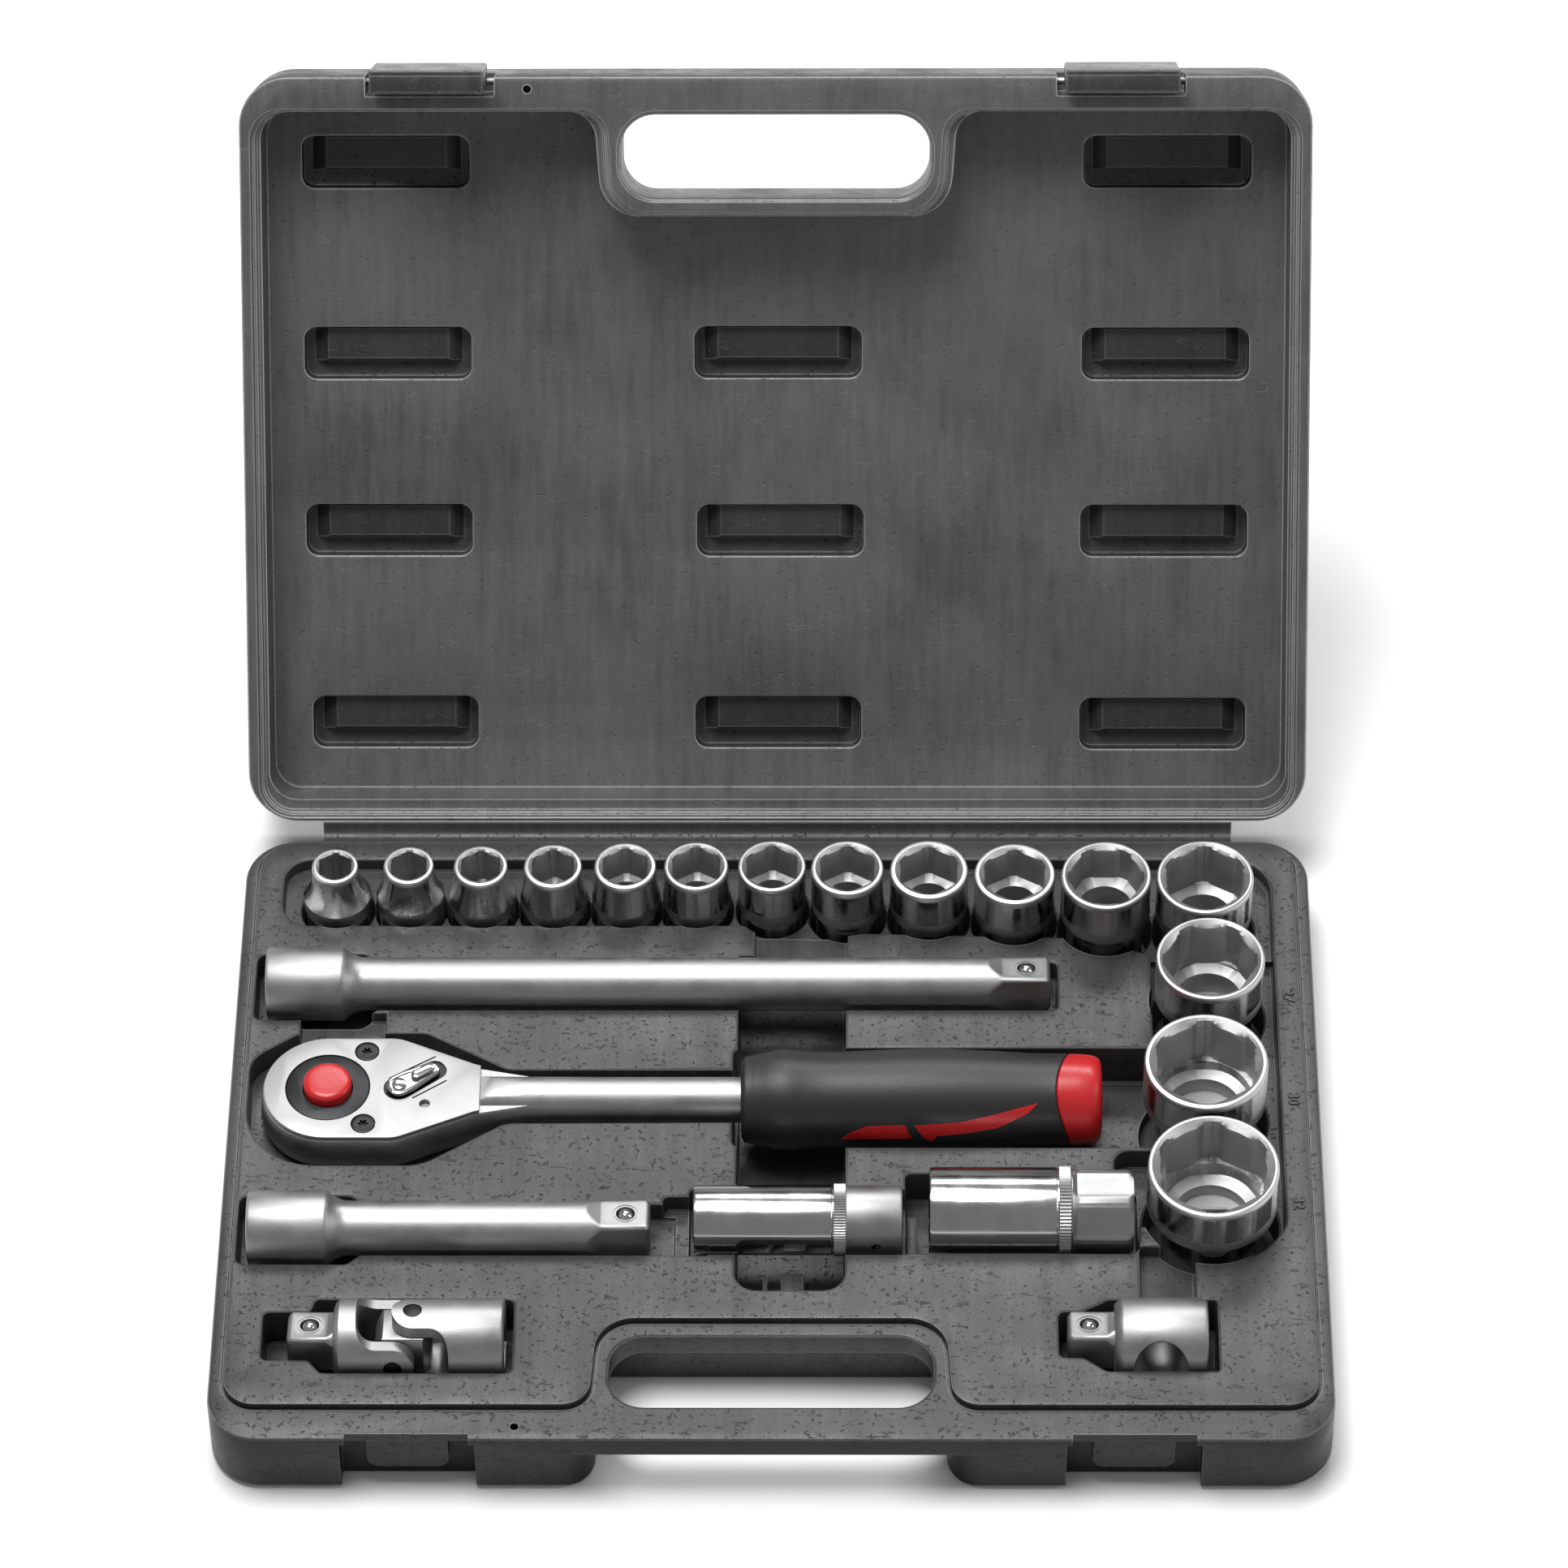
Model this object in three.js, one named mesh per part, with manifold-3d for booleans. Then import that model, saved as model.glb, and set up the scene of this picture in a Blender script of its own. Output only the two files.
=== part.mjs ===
// Socket wrench set in its moulded case, open.
// Millimetres, +X right, +Y towards the hinge, +Z up.
// The origin is the middle of the tray's bottom face.
import * as THREE from "three";
import { mergeVertices } from "three/addons/utils/BufferGeometryUtils.js";
import Module from "manifold-3d";

const wasm = await Module();
wasm.setup();

// ---- driving dimensions -------------------------------------------------
const GAP = 0.3; // left between pieces that touch
const HALF_WIDTH = 171; // case, half its width
const HALF_DEPTH = 120.5; // case, half its depth
const CORNER = 16; // case corner radius
const RIM = 25; // height of the tray's rim
const PANEL = 27; // height of the raised panel that holds the tools
const FLOOR = 4.5; // floor of the socket wells
const LEDGE = 21.5; // ledge round the back row of sockets
const COLUMN_LEDGE = 18; // ledge round the right-hand column
const LID_LOW = 25.3; // lid's rim when shut
const LID_TOP = 58.3; // outside of the lid when shut
const LID_RECESS = 50; // inner floor of the lid when shut
const LID_OPEN = 127.6; // degrees the lid stands open
const HINGE_Y = 124;
const HINGE_Z = 25.2;
const WEB_HALF = 147; // half the length of the living hinge
const LATCH_X = 110; // latches at plus and minus this
const LATCH_HALF = 18; // half a latch's width
const RECESS_BACK = -114.1; // back wall of the recess under a latch
const BAND_LOW = 21.7; // lower edge of the rim's band across that recess
const BAND_FRONT = -118.8; // the band stands back behind the shut latch
const TUNNEL_HALF = 53.5; // half the width of the way under the handle
const LEG_ROUND = 12; // rounding of the case beside that way
const HANDLE_LOW = 17; // underside of the carrying handle
const LATCH_PIN_Y = -118.2;
const LATCH_PIN_Z = 34;
const DRIVE = 12.7; // square drive across its flats
const DRIVE_HOLE = 12.95;
const BAR_Z = 27.8; // axis height of the two bars
const SHANK = 8.5; // bar shank radius
const BAR_HEAD = 11.75; // bar socket-end radius
const BALL = 2.6; // detent ball radius
const BALL_OUT = 1; // how far a ball stands out of its flat
const BALL_HOLE = 2.95;

// Sockets: size, centre x, centre y, top height, outside diameter,
// drive-end diameter, and whether a corner of the hexagon points back.
const SOCKETS = [
  [10, -140.8, 93.9, 43, 14.9, 21.8, true],
  [11, -117.3, 94.2, 43, 16.15, 21.8, true],
  [12, -94.3, 93.9, 43, 17.4, 21.8, true],
  [13, -71.2, 93.9, 43, 18.7, 21.8, true],
  [14, -48.1, 93.9, 43, 19.95, 21.8, true],
  [15, -25.4, 93.9, 43, 20.6, 21.8, true],
  [16, -1.2, 93.9, 43, 21.8, 21.2, true],
  [17, 22.9, 91.4, 45, 23.2, 21.6, true],
  [18, 48.9, 90.6, 45, 25.0, 22.4, true],
  [19, 76.2, 88.8, 45, 25.9, 23.0, true],
  [22, 105.2, 85.6, 48, 28.7, 25.4, false],
  [24, 136.6, 84.9, 48, 30.9, 26.6, true],
  [27, 137.2, 50.9, 48, 34.3, 29.0, false],
  [30, 134.6, 8.7, 48, 38.6, 31.0, true],
  [32, 135.6, -33.1, 48, 40.5, 32.0, true],
];
const SOCKET_FOOT = 4.8; // height of the sockets' lower face
const SOCKET_SIDES = 16;

// Bars: name, left end, right end, axis y, roll in degrees.
const BARS = [
  ["extension_250", -161.2, 87.2, 57.2, 13],
  ["extension_125", -161.8, -37.6, -41.8, 7.5],
];

// Ratchet.
const HEAD_X = -139.6; // gear axis
const RATCHET_Y = 10.8;
const RATCHET_Z = 26.4; // shank axis height
const HEAD_R = 20.6;
const HEAD_LOW = 17.4;
const HEAD_TOP = 30.6;
const COVER_TOP = 32.4;
const NECK_X = -92;
const GRIP_X0 = -10.2;
const GRIP_X1 = 102.6;
const CAP_X = 90.4; // joint between sleeve and red end cap
const GEAR_R = 15.6;
const GEAR_BORE = 16.3;
const GEAR_TEETH = 36;
const HUB_R = 13;
const SCREW_DX = 11.7;
const SCREW_DY = 14.6;
const LEVER_X = -117.1;
const PAWL_TILT = 4; // degrees the pawl leans at rest
const BUTTON_R = 7.6;
const DRIVE_LOW = 3.4; // lower end of the ratchet's square

// Spark-plug sockets: name, left end, right end, axis y, radius, knurl start, hexagon size.
const PLUG_SOCKETS = [
  ["plug_socket_16", -24.4, 40.2, -38.2, 10.9, 18.5, 16],
  ["plug_socket_21", 48.3, 111.3, -35, 13.9, 87.9, 21],
];
const PLUG_Z = 27.5;

// Universal joint.
const JOINT_Y = -83;
const JOINT_Z = 24.6;
const JOINT_R = 12.9;
const JOINT_ROLL = 9;
const ROUND_SIDES = 20; // chords round the larger turned pieces
const JOINT_PIN_A = -115; // across the drive yoke
const JOINT_PIN_B = -109; // across the socket yoke
const PIN_R = 2.7;

// Sliding adaptor.
const SLIDER_Y = -82.3;
const SLIDER_Z = 24.2;
const SLIDER_R = 13;
const SLIDER_ROLL = 12;
const SLIDER_HOLE_X = 118.5;

// ---- helpers --------------------------------------------------------------
const DEG = Math.PI / 180;

function solidFrom(geometry) {
  geometry.deleteAttribute("normal");
  geometry.deleteAttribute("uv");
  const merged = mergeVertices(geometry, 1e-4);
  const position = merged.attributes.position;
  const corners = merged.index.array;
  const kept = [];
  for (let i = 0; i < corners.length; i += 3) {
    const [a, b, c] = [corners[i], corners[i + 1], corners[i + 2]];
    if (a !== b && b !== c && a !== c) kept.push(a, b, c);
  }
  const build = (tri) =>
    new wasm.Manifold(
      new wasm.Mesh({
        numProp: 3,
        vertProperties: new Float32Array(position.array),
        triVerts: new Uint32Array(tri),
      }),
    );
  const made = build(kept);
  if (made.volume() > 0) return made;
  const turned = [];
  for (let i = 0; i < kept.length; i += 3) turned.push(kept[i], kept[i + 2], kept[i + 1]);
  return build(turned);
}

function meshFrom(solid, name, material) {
  const data = solid.getMesh();
  const geometry = new THREE.BufferGeometry();
  const points = new Float32Array(data.numVert * 3);
  for (let i = 0; i < data.numVert; i++) {
    points.set(data.vertProperties.subarray(i * data.numProp, i * data.numProp + 3), i * 3);
  }
  geometry.setAttribute("position", new THREE.BufferAttribute(points, 3));
  geometry.setIndex(new THREE.BufferAttribute(data.triVerts, 1));
  geometry.computeVertexNormals();
  const mesh = new THREE.Mesh(geometry, material);
  mesh.name = name;
  return mesh;
}

function prism(points, low, high) {
  const shape = new THREE.Shape(points.map(([x, y]) => new THREE.Vector2(x, y)));
  const geometry = new THREE.ExtrudeGeometry(shape, { depth: high - low, bevelEnabled: false });
  geometry.translate(0, 0, low);
  return solidFrom(geometry);
}

// Turned about Z from [radius, height] pairs; both ends are closed on the axis.
function turned(profile, sides) {
  const closed = [[0, profile[0][1]], ...profile, [0, profile[profile.length - 1][1]]];
  const geometry = new THREE.LatheGeometry(
    closed.map(([r, h]) => new THREE.Vector2(r, h)),
    sides,
  );
  geometry.rotateX(Math.PI / 2);
  return solidFrom(geometry);
}

// Turned about X from [radius, x] pairs.
function turnedX(profile, sides) {
  return turned(profile, sides).rotate([0, 90, 0]);
}

function block(x0, x1, y0, y1, z0, z1) {
  const geometry = new THREE.BoxGeometry(x1 - x0, y1 - y0, z1 - z0);
  geometry.translate((x0 + x1) / 2, (y0 + y1) / 2, (z0 + z1) / 2);
  return solidFrom(geometry);
}

function rod(radius, z0, z1, sides) {
  return turned([[radius, z0], [radius, z1]], sides);
}

function rodX(radius, x0, x1, sides) {
  return turnedX([[radius, x0], [radius, x1]], sides);
}

function ball(radius) {
  return solidFrom(new THREE.SphereGeometry(radius, 8, 6));
}

function ring(radius, count, start) {
  const points = [];
  for (let i = 0; i < count; i++) {
    const a = (start + (360 * i) / count) * DEG;
    points.push([radius * Math.cos(a), radius * Math.sin(a)]);
  }
  return points;
}

function hexagon(acrossFlats, start) {
  return ring(acrossFlats / 2 / Math.cos(30 * DEG), 6, start);
}

// Corners are [x, y, radius], anticlockwise; each is swept with short chords.
function rounded(corners, steps = 4) {
  const points = [];
  const count = corners.length;
  corners.forEach(([x, y, r], i) => {
    if (!r) {
      points.push([x, y]);
      return;
    }
    const [ax, ay] = corners[(i + count - 1) % count];
    const [bx, by] = corners[(i + 1) % count];
    const from = new THREE.Vector2(ax - x, ay - y).normalize();
    const to = new THREE.Vector2(bx - x, by - y).normalize();
    const half = Math.acos(Math.max(-1, Math.min(1, from.dot(to)))) / 2;
    const along = r / Math.tan(half);
    const middle = from.clone().add(to).normalize().multiplyScalar(r / Math.sin(half));
    const centre = new THREE.Vector2(x, y).add(middle);
    const first = new THREE.Vector2(x, y).add(from.multiplyScalar(along)).sub(centre);
    const last = new THREE.Vector2(x, y).add(to.multiplyScalar(along)).sub(centre);
    const sweep = Math.atan2(first.cross(last), first.dot(last));
    for (let k = 0; k <= steps; k++) {
      const a = first.angle() + (sweep * k) / steps;
      points.push([centre.x + r * Math.cos(a), centre.y + r * Math.sin(a)]);
    }
  });
  return points;
}

function rectangle(x0, x1, y0, y1, r, steps) {
  return rounded([[x0, y0, r], [x1, y0, r], [x1, y1, r], [x0, y1, r]], steps);
}

// The corner list moved outwards by a distance; radii follow convex and hollow corners.
function grown(corners, by) {
  const count = corners.length;
  return corners.map(([x, y, r], i) => {
    const [ax, ay] = corners[(i + count - 1) % count];
    const [bx, by2] = corners[(i + 1) % count];
    const u = new THREE.Vector2(x - ax, y - ay).normalize();
    const v = new THREE.Vector2(bx - x, by2 - y).normalize();
    const turn = u.cross(v);
    const nu = new THREE.Vector2(u.y, -u.x);
    const nv = new THREE.Vector2(v.y, -v.x);
    const sum = nu.clone().add(nv);
    const scale = (2 * by) / sum.lengthSq();
    const radius = r ? Math.max(0.4, turn > 0 ? r + by : r - by) : 0;
    return [x + sum.x * scale, y + sum.y * scale, radius];
  });
}

function union(solids) {
  return solids.reduce((all, next) => all.add(next));
}

// ---- case -------------------------------------------------------------------
const CASE_CORNERS = [
  [-HALF_WIDTH, -HALF_DEPTH, CORNER],
  [HALF_WIDTH, -HALF_DEPTH, CORNER],
  [HALF_WIDTH, HALF_DEPTH, CORNER],
  [-HALF_WIDTH, HALF_DEPTH, CORNER],
];

// Raised panel, stepping back round the handle opening.
const PANEL_CORNERS = [
  [-166.4, -109, 10],
  [-55, -109, 9],
  [-53, -76, 12],
  [53, -76, 12],
  [55, -109, 9],
  [166.4, -109, 10],
  [166.4, 118, 11],
  [-166.4, 118, 11],
];

const HANDLE_HOLE = [
  [-49.3, -108.2, 11],
  [49.3, -108.2, 11],
  [49.3, -81.6, 11],
  [-49.3, -81.6, 11],
];

// Shapes cut into the panel: [corners, floor height].
function trayCuts() {
  const cuts = [];
  const backRow = [
    [-158.3, 82.8, 9],
    [-10, 82.8, 3],
    [-7, 80, 2],
    [24, 79.5, 2],
    [100, 77.5, 4],
    [120.5, 70, 4],
    [158.6, 70, 0],
    [158.6, 110.6, 13],
    [-158.3, 110.6, 9],
  ];
  cuts.push([backRow, LEDGE]);
  const column = [
    [119.4, -20, 0],
    [119.4, -45, 8],
    [131, -52, 6],
    [150, -52, 12],
    [158.6, -40, 12],
    [158.6, 72, 0],
    [119.4, 72, 0],
  ];
  cuts.push([column, COLUMN_LEDGE]);
  const longHead = [
    [-165, 43.2, 3],
    [-131, 43.2, 3],
    [-126, 47.4, 0],
    [-126, 67, 0],
    [-131, 70.4, 3],
    [-165, 70.4, 3],
  ];
  cuts.push([longHead, BAR_Z - BAR_HEAD - 0.2]);
  cuts.push([[[-130, 47.4, 0], [89.6, 47.4, 2], [89.6, 67, 2], [-130, 67, 0]], BAR_Z - 9.2]);
  const ratchetHead = [
    [-165, 10.8, 0],
    [-165, -15.8, 22],
    [-110, -15.8, 16],
    [-84, 1.2, 8],
    [-11.5, 1.6, 0],
    [-11.5, 22.6, 0],
    [-84, 22.6, 8],
    [-110, 37.6, 8],
    [-150, 37.6, 6],
    [-165, 27, 10],
  ];
  cuts.push([ratchetHead, HEAD_LOW - 0.3]);
  cuts.push([[[-150, 35, 0], [-123, 35, 0], [-123, 46, 0], [-150, 46, 0]], 22]);
  cuts.push([rectangleCorners(HEAD_X - 11, HEAD_X + 11, -0.2, 21.8, 5), DRIVE_LOW - 0.6]);
  const grip = [
    [-13, -8.6, 3],
    [108, -8.6, 4],
    [121, -8.6, 0],
    [121, 31.6, 0],
    [-13, 31.6, 3],
  ];
  cuts.push([grip, 9.8]);
  const shortHead = [
    [-165.2, -55, 3],
    [-131, -55, 3],
    [-127, -51.4, 0],
    [-127, -31, 0],
    [-131, -28.2, 3],
    [-165.2, -28.2, 3],
  ];
  cuts.push([shortHead, BAR_Z - BAR_HEAD - 0.2]);
  cuts.push([[[-130, -51.4, 0], [-30, -51.4, 0], [-30, -31.5, 0], [-130, -31.5, 0]], BAR_Z - 9.2]);
  cuts.push([[[-34, -51.4, 0], [-20, -51.4, 0], [-20, -28.5, 2], [-34, -28.5, 2]], 20]);
  cuts.push([rectangleCorners(-26, 42.4, -51, -25.4, 2), 16.2]);
  cuts.push([[[41, -50.6, 0], [113, -50.6, 3], [113, -19.2, 3], [41, -19.2, 2]], 13.2]);
  cuts.push([[[106, -40, 0], [124, -40, 0], [124, -10, 0], [106, -10, 5]], 18]);
  const fingers = [
    [-11.6, -65, 7],
    [22.4, -65, 7],
    [22.4, 70, 0],
    [-11.6, 70, 0],
  ];
  cuts.push([fingers, 6]);
  cuts.push([[[-6.6, 60, 0], [23, 60, 0], [23, 84, 0], [-6.6, 84, 0]], 23.4]);
  const jointPocket = [
    [-155.4, -92, 2],
    [-141, -92, 2],
    [-137, -96.9, 2],
    [-78.8, -96.9, 2],
    [-78.8, -68.9, 2],
    [-139.6, -68.9, 2],
    [-141, -73.8, 2],
    [-155.4, -73.8, 2],
  ];
  cuts.push([jointPocket, JOINT_Z - JOINT_R - 0.3]);
  const sliderPocket = [
    [87.6, -90.8, 2],
    [95, -90.8, 3],
    [102, -96, 3],
    [136.2, -96, 1],
    [136.2, -68.8, 1],
    [103, -68.8, 3],
    [95, -73.4, 3],
    [87.6, -73.4, 2],
  ];
  cuts.push([sliderPocket, SLIDER_Z - SLIDER_R - 0.3]);
  cuts.push([[[113, -72, 0], [130, -72, 0], [130, -48, 0], [113, -48, 0]], 21]);
  return cuts;
}

function rectangleCorners(x0, x1, y0, y1, r) {
  return [[x0, y0, r], [x1, y0, r], [x1, y1, r], [x0, y1, r]];
}

function wellRadius(outside, drive) {
  return Math.max(outside, drive) / 2 + 0.9;
}

// Every pocket, groove and socket well of the raised panel.
function trayPockets() {
  const solids = [];
  for (const [corners, floor] of trayCuts()) {
    solids.push(prism(rounded(corners, 2), floor, PANEL + 1));
  }
  for (const [, x, y, , outside, drive] of SOCKETS) {
    const well = rod(wellRadius(outside, drive), FLOOR, PANEL + 1, 16);
    solids.push(well.translate([x, y, 0]));
  }
  return union(solids);
}

// The recess under a latch is open at the bottom and runs behind the rim's band.
function latchRecess(side) {
  const x = side * LATCH_X;
  const open = block(x - 20.5, x + 20.5, -HALF_DEPTH - 1, RECESS_BACK, -1, BAND_LOW);
  const setBack = block(x - 18.8, x + 18.8, -HALF_DEPTH - 1, BAND_FRONT, 20, RIM + 1);
  return open.add(setBack);
}

// Rounded pad the latch's hook snaps under.
function catchPad(side) {
  const x = side * LATCH_X;
  const top = BAND_LOW + 1;
  const face = [[x - 12.5, 8.3, 4], [x + 12.5, 8.3, 4], [x + 12.5, top, 0], [x - 12.5, top, 0]];
  const pad = prism(rounded(face, 3), 0, RECESS_BACK + 119);
  return pad.rotate([90, 0, 0]).translate([0, RECESS_BACK + 0.4, 0]);
}

// Way through under the handle, flared where the legs' front corners are rounded.
function handleTunnel() {
  const centre = TUNNEL_HALF + LEG_ROUND;
  const curve = [];
  for (let i = 0; i <= 6; i++) {
    const angle = (1.5 - i / 12) * Math.PI;
    const out = centre + LEG_ROUND * Math.cos(angle);
    curve.push([out, -HALF_DEPTH + LEG_ROUND + LEG_ROUND * Math.sin(angle)]);
  }
  const right = [[centre, -HALF_DEPTH - 2], ...curve, [TUNNEL_HALF, -78]];
  const left = right.map(([x, y]) => [-x, y]).reverse();
  return prism([...right, ...left], -1, HANDLE_LOW);
}

function outerShell(low, high, chamfer) {
  const inner = prism(rounded(grown(CASE_CORNERS, -chamfer), 5), low, low + chamfer);
  const body = prism(rounded(CASE_CORNERS, 5), low + chamfer, high);
  return body.add(inner);
}

function makeTray() {
  const panel = prism(rounded(PANEL_CORNERS, 4), RIM - 1, PANEL);
  const outside = outerShell(0, RIM, 2.5).add(panel);
  const fingerRibs = union([
    block(-3, -1.6, -64.9, -51.5, 5, 16),
    block(2.5, 9.8, -64.9, -51.5, 5, 18),
    block(41.5, 44.6, -50, -33, 12, 22.5),
  ]);
  let tray = outside.subtract(trayPockets()).add(fingerRibs);
  tray = tray.subtract(prism(rounded(HANDLE_HOLE, 4), -1, PANEL + 1));
  tray = tray.subtract(handleTunnel());
  for (const side of [-1, 1]) {
    tray = tray.subtract(latchRecess(side)).add(catchPad(side));
  }
  return tray;
}

// Eleven tack-off pockets in the lid: centre x and distance from the hinge edge.
const LID_POCKETS = [
  [-125.8, 211.5], [125.8, 211.3],
  [-125.8, 149.6], [0.4, 149.8], [125.6, 149.2],
  [-126, 91.8], [1, 91.6], [125.4, 91.4],
  [-124.6, 28.6], [0.2, 28.4], [125.4, 27.8],
];

const LID_REBATE = [
  [-167.4, -110, 10],
  [-54, -110, 9],
  [-52, -77, 12],
  [52, -77, 12],
  [54, -110, 9],
  [167.4, -110, 10],
  [167.4, 119, 11],
  [-167.4, 119, 11],
];

const LID_INNER = [
  [-164.4, -109, 9],
  [-58, -109, 9],
  [-55.5, -75.4, 13],
  [55.5, -75.4, 13],
  [58, -109, 9],
  [164.4, -109, 9],
  [164.4, 114, 9],
  [-164.4, 114, 9],
];

function lidPockets() {
  const solids = [];
  solids.push(prism(rounded(LID_REBATE, 4), LID_LOW - 1, LID_LOW + 2.6));
  solids.push(prism(rounded(LID_INNER, 4), LID_LOW - 1, LID_RECESS));
  for (const [x, s] of LID_POCKETS) {
    const y = HALF_DEPTH - s;
    const corners = rectangleCorners(x - 27, x + 27, y - 8.4, y + 8.4, 4);
    solids.push(prism(rounded(corners, 2), LID_RECESS - 1, LID_RECESS + 6));
  }
  return union(solids);
}

function lidLatchNotch(side) {
  const x = side * LATCH_X;
  return block(x - 20.5, x + 20.5, -HALF_DEPTH - 1, -114.2, LID_LOW - 1, 41.5);
}

function pocketLedge(x, s) {
  const y = HALF_DEPTH - s;
  const side = [[-19, LID_RECESS + 2.5], [19, LID_RECESS + 2.5], [24, LID_RECESS + 6.5], [-24, LID_RECESS + 6.5]];
  const ledge = prism(side, 0, 9).rotate([90, 0, 0]);
  return ledge.translate([x, y + 1, 0]);
}

function latchPinHole(side) {
  const x = side * LATCH_X;
  return rodX(1.5, x - 23, x + 23, 8).translate([0, LATCH_PIN_Y, LATCH_PIN_Z]);
}

function makeLid() {
  const outside = outerShell(0, LID_TOP - LID_LOW, 2.5)
    .mirror([0, 0, 1])
    .translate([0, 0, LID_TOP]);
  let lid = outside.subtract(lidPockets());
  for (const [x, s] of LID_POCKETS) lid = lid.add(pocketLedge(x, s));
  lid = lid.subtract(prism(rounded(HANDLE_HOLE, 4), LID_LOW - 1, LID_TOP + 1));
  for (const side of [-1, 1]) lid = lid.subtract(lidLatchNotch(side)).subtract(latchPinHole(side));
  return lid;
}

// Thin web that runs between the two rims along the back.
function makeWeb() {
  const section = [
    [120.9, 24],
    [121.6, 23.4],
    [123.6, 23.2],
    [125.4, 24.4],
    [126.4, 26.4],
    [125.6, 26.9],
    [124.6, 25.1],
    [123.4, 24.3],
    [121.8, 24.5],
    [120.9, 24.9],
  ];
  return prism(section, -WEB_HALF, WEB_HALF).rotate([90, 0, 90]);
}

function makeLatch(side) {
  const x = side * LATCH_X;
  const left = x - LATCH_HALF;
  const right = x + LATCH_HALF;
  let latch = block(left, right, -124.2, -122, 5.4, 35);
  latch = latch.add(block(left, right, -123, -117.1, 5.4, 8));
  latch = latch.add(block(left, left + 2, -123, -116.6, 5.4, 35));
  latch = latch.add(block(right - 2, right, -123, -116.6, 5.4, 35));
  latch = latch.add(block(left, right, -123, -116.4, 31.8, 35));
  latch = latch.subtract(block(left - 1, right + 1, BAND_FRONT - 0.3, -116, BAND_LOW - 0.5, RIM + 0.8));
  const pinHole = rodX(1.5, left - 1, right + 1, 8).translate([0, LATCH_PIN_Y, LATCH_PIN_Z]);
  return latch.subtract(pinHole);
}

function makeLatchPin(side) {
  const x = side * LATCH_X;
  return rodX(1.2, x - 22.4, x + 22.4, 8).translate([0, LATCH_PIN_Y, LATCH_PIN_Z]);
}

// ---- sockets ------------------------------------------------------------------
function makeSocket([size, , , top, outside, drive, cornerBack]) {
  const r = outside / 2;
  const base = drive / 2;
  const flared = base > r;
  const knurlTop = top - 13.5;
  const knurlLow = knurlTop - 4;
  const ringR = Math.max(r, base);
  const profile = [
    [base - 0.5, SOCKET_FOOT],
    [base - 0.5, knurlLow - 0.4],
    [ringR, knurlLow],
    [ringR, knurlTop],
  ];
  if (flared) profile.push([r + (base - r) * 0.35, knurlTop + 1.8]);
  profile.push([r, knurlTop + (flared ? 5 : 0.6)], [r, top - 0.8], [r - 0.8, top]);
  const start = cornerBack ? 90 : 60;
  const seat = SOCKET_FOOT + 14;
  const bore = turned([[size / 2 - 0.4, seat], [size / 2 - 0.4, top - 14]], 12);
  const hex = prism(hexagon(size + 0.2, start), top - 15, top + 1);
  const square = prism(ring(DRIVE_HOLE / Math.SQRT2, 4, 45), SOCKET_FOOT - 1, seat + 0.01);
  const cut = union([bore, hex, square]);
  return turned(profile, SOCKET_SIDES).subtract(cut);
}

function makePlugSocket([, x0, x1, , r, knurlX, size]) {
  const big = size > 18;
  const profile = [
    [r - 0.7, x0],
    [r, x0 + 0.7],
    [r, knurlX],
    [r + 0.3, knurlX + 0.3],
    [r + 0.3, knurlX + 4.2],
    [big ? r - 0.4 : r, knurlX + 4.4],
  ];
  let body = turnedX([...profile, [big ? r - 0.4 : r, knurlX + 4.6]], 20);
  if (big) {
    const hexEnd = prism(hexagon(24, 0), knurlX + 4, x1).rotate([0, 90, 0]).rotate([-3.6, 0, 0]);
    const limit = turnedX([[14, knurlX + 4], [13.6, x1 - 1.4], [12.2, x1]], 20);
    body = body.add(hexEnd.intersect(limit));
  } else {
    body = body.add(turnedX([[r, knurlX + 4.4], [r, x1 - 0.8], [r - 0.8, x1]], 20));
  }
  const hex = prism(hexagon(size + 0.2, 30), x0 - 1, x0 + 22).rotate([0, 90, 0]);
  const bore = rodX(size / 2 - 0.3, x0 + 20, x1 - 15, 16);
  const square = squareX(DRIVE_HOLE, x1 - 15.2, x1 + 1);
  body = body.subtract(union([hex, bore, square]));
  return body;
}

// Rubber ring that grips the plug, seated at the foot of the hexagon.
function makePlugRubber([, x0, , , , , size]) {
  const outer = size / 2 - 0.6;
  const ringBody = rodX(outer, x0 + 23, x0 + 33, 16);
  return ringBody.subtract(rodX(outer - 2.2, x0 + 22, x0 + 34, 16));
}

// A square bar along X.
function squareX(width, x0, x1) {
  return prism(ring(width / Math.SQRT2, 4, 45), x0, x1).rotate([0, 90, 0]);
}

// Square drive along X with a bevelled nose at x1 and a pocket for its ball on top.
function driveSquare(x0, x1, ballX) {
  const nose = Math.sign(x1 - x0);
  const r = DRIVE / Math.SQRT2;
  const square = squareX(DRIVE, Math.min(x0, x1), Math.max(x0, x1));
  const profile = [[r * 0.99, x0], [r * 0.99, x1 - nose * 1.2], [r * 0.8, x1]];
  const limit = turnedX(nose > 0 ? profile : profile.reverse(), 16);
  const pocket = rod(BALL_HOLE, DRIVE / 2 - 5.6, DRIVE / 2 + 2, 10).translate([ballX, 0, 0]);
  return square.intersect(limit).subtract(pocket);
}

function detentBall(ballX) {
  return ball(BALL).translate([ballX, 0, DRIVE / 2 + BALL_OUT - BALL]);
}

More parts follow.
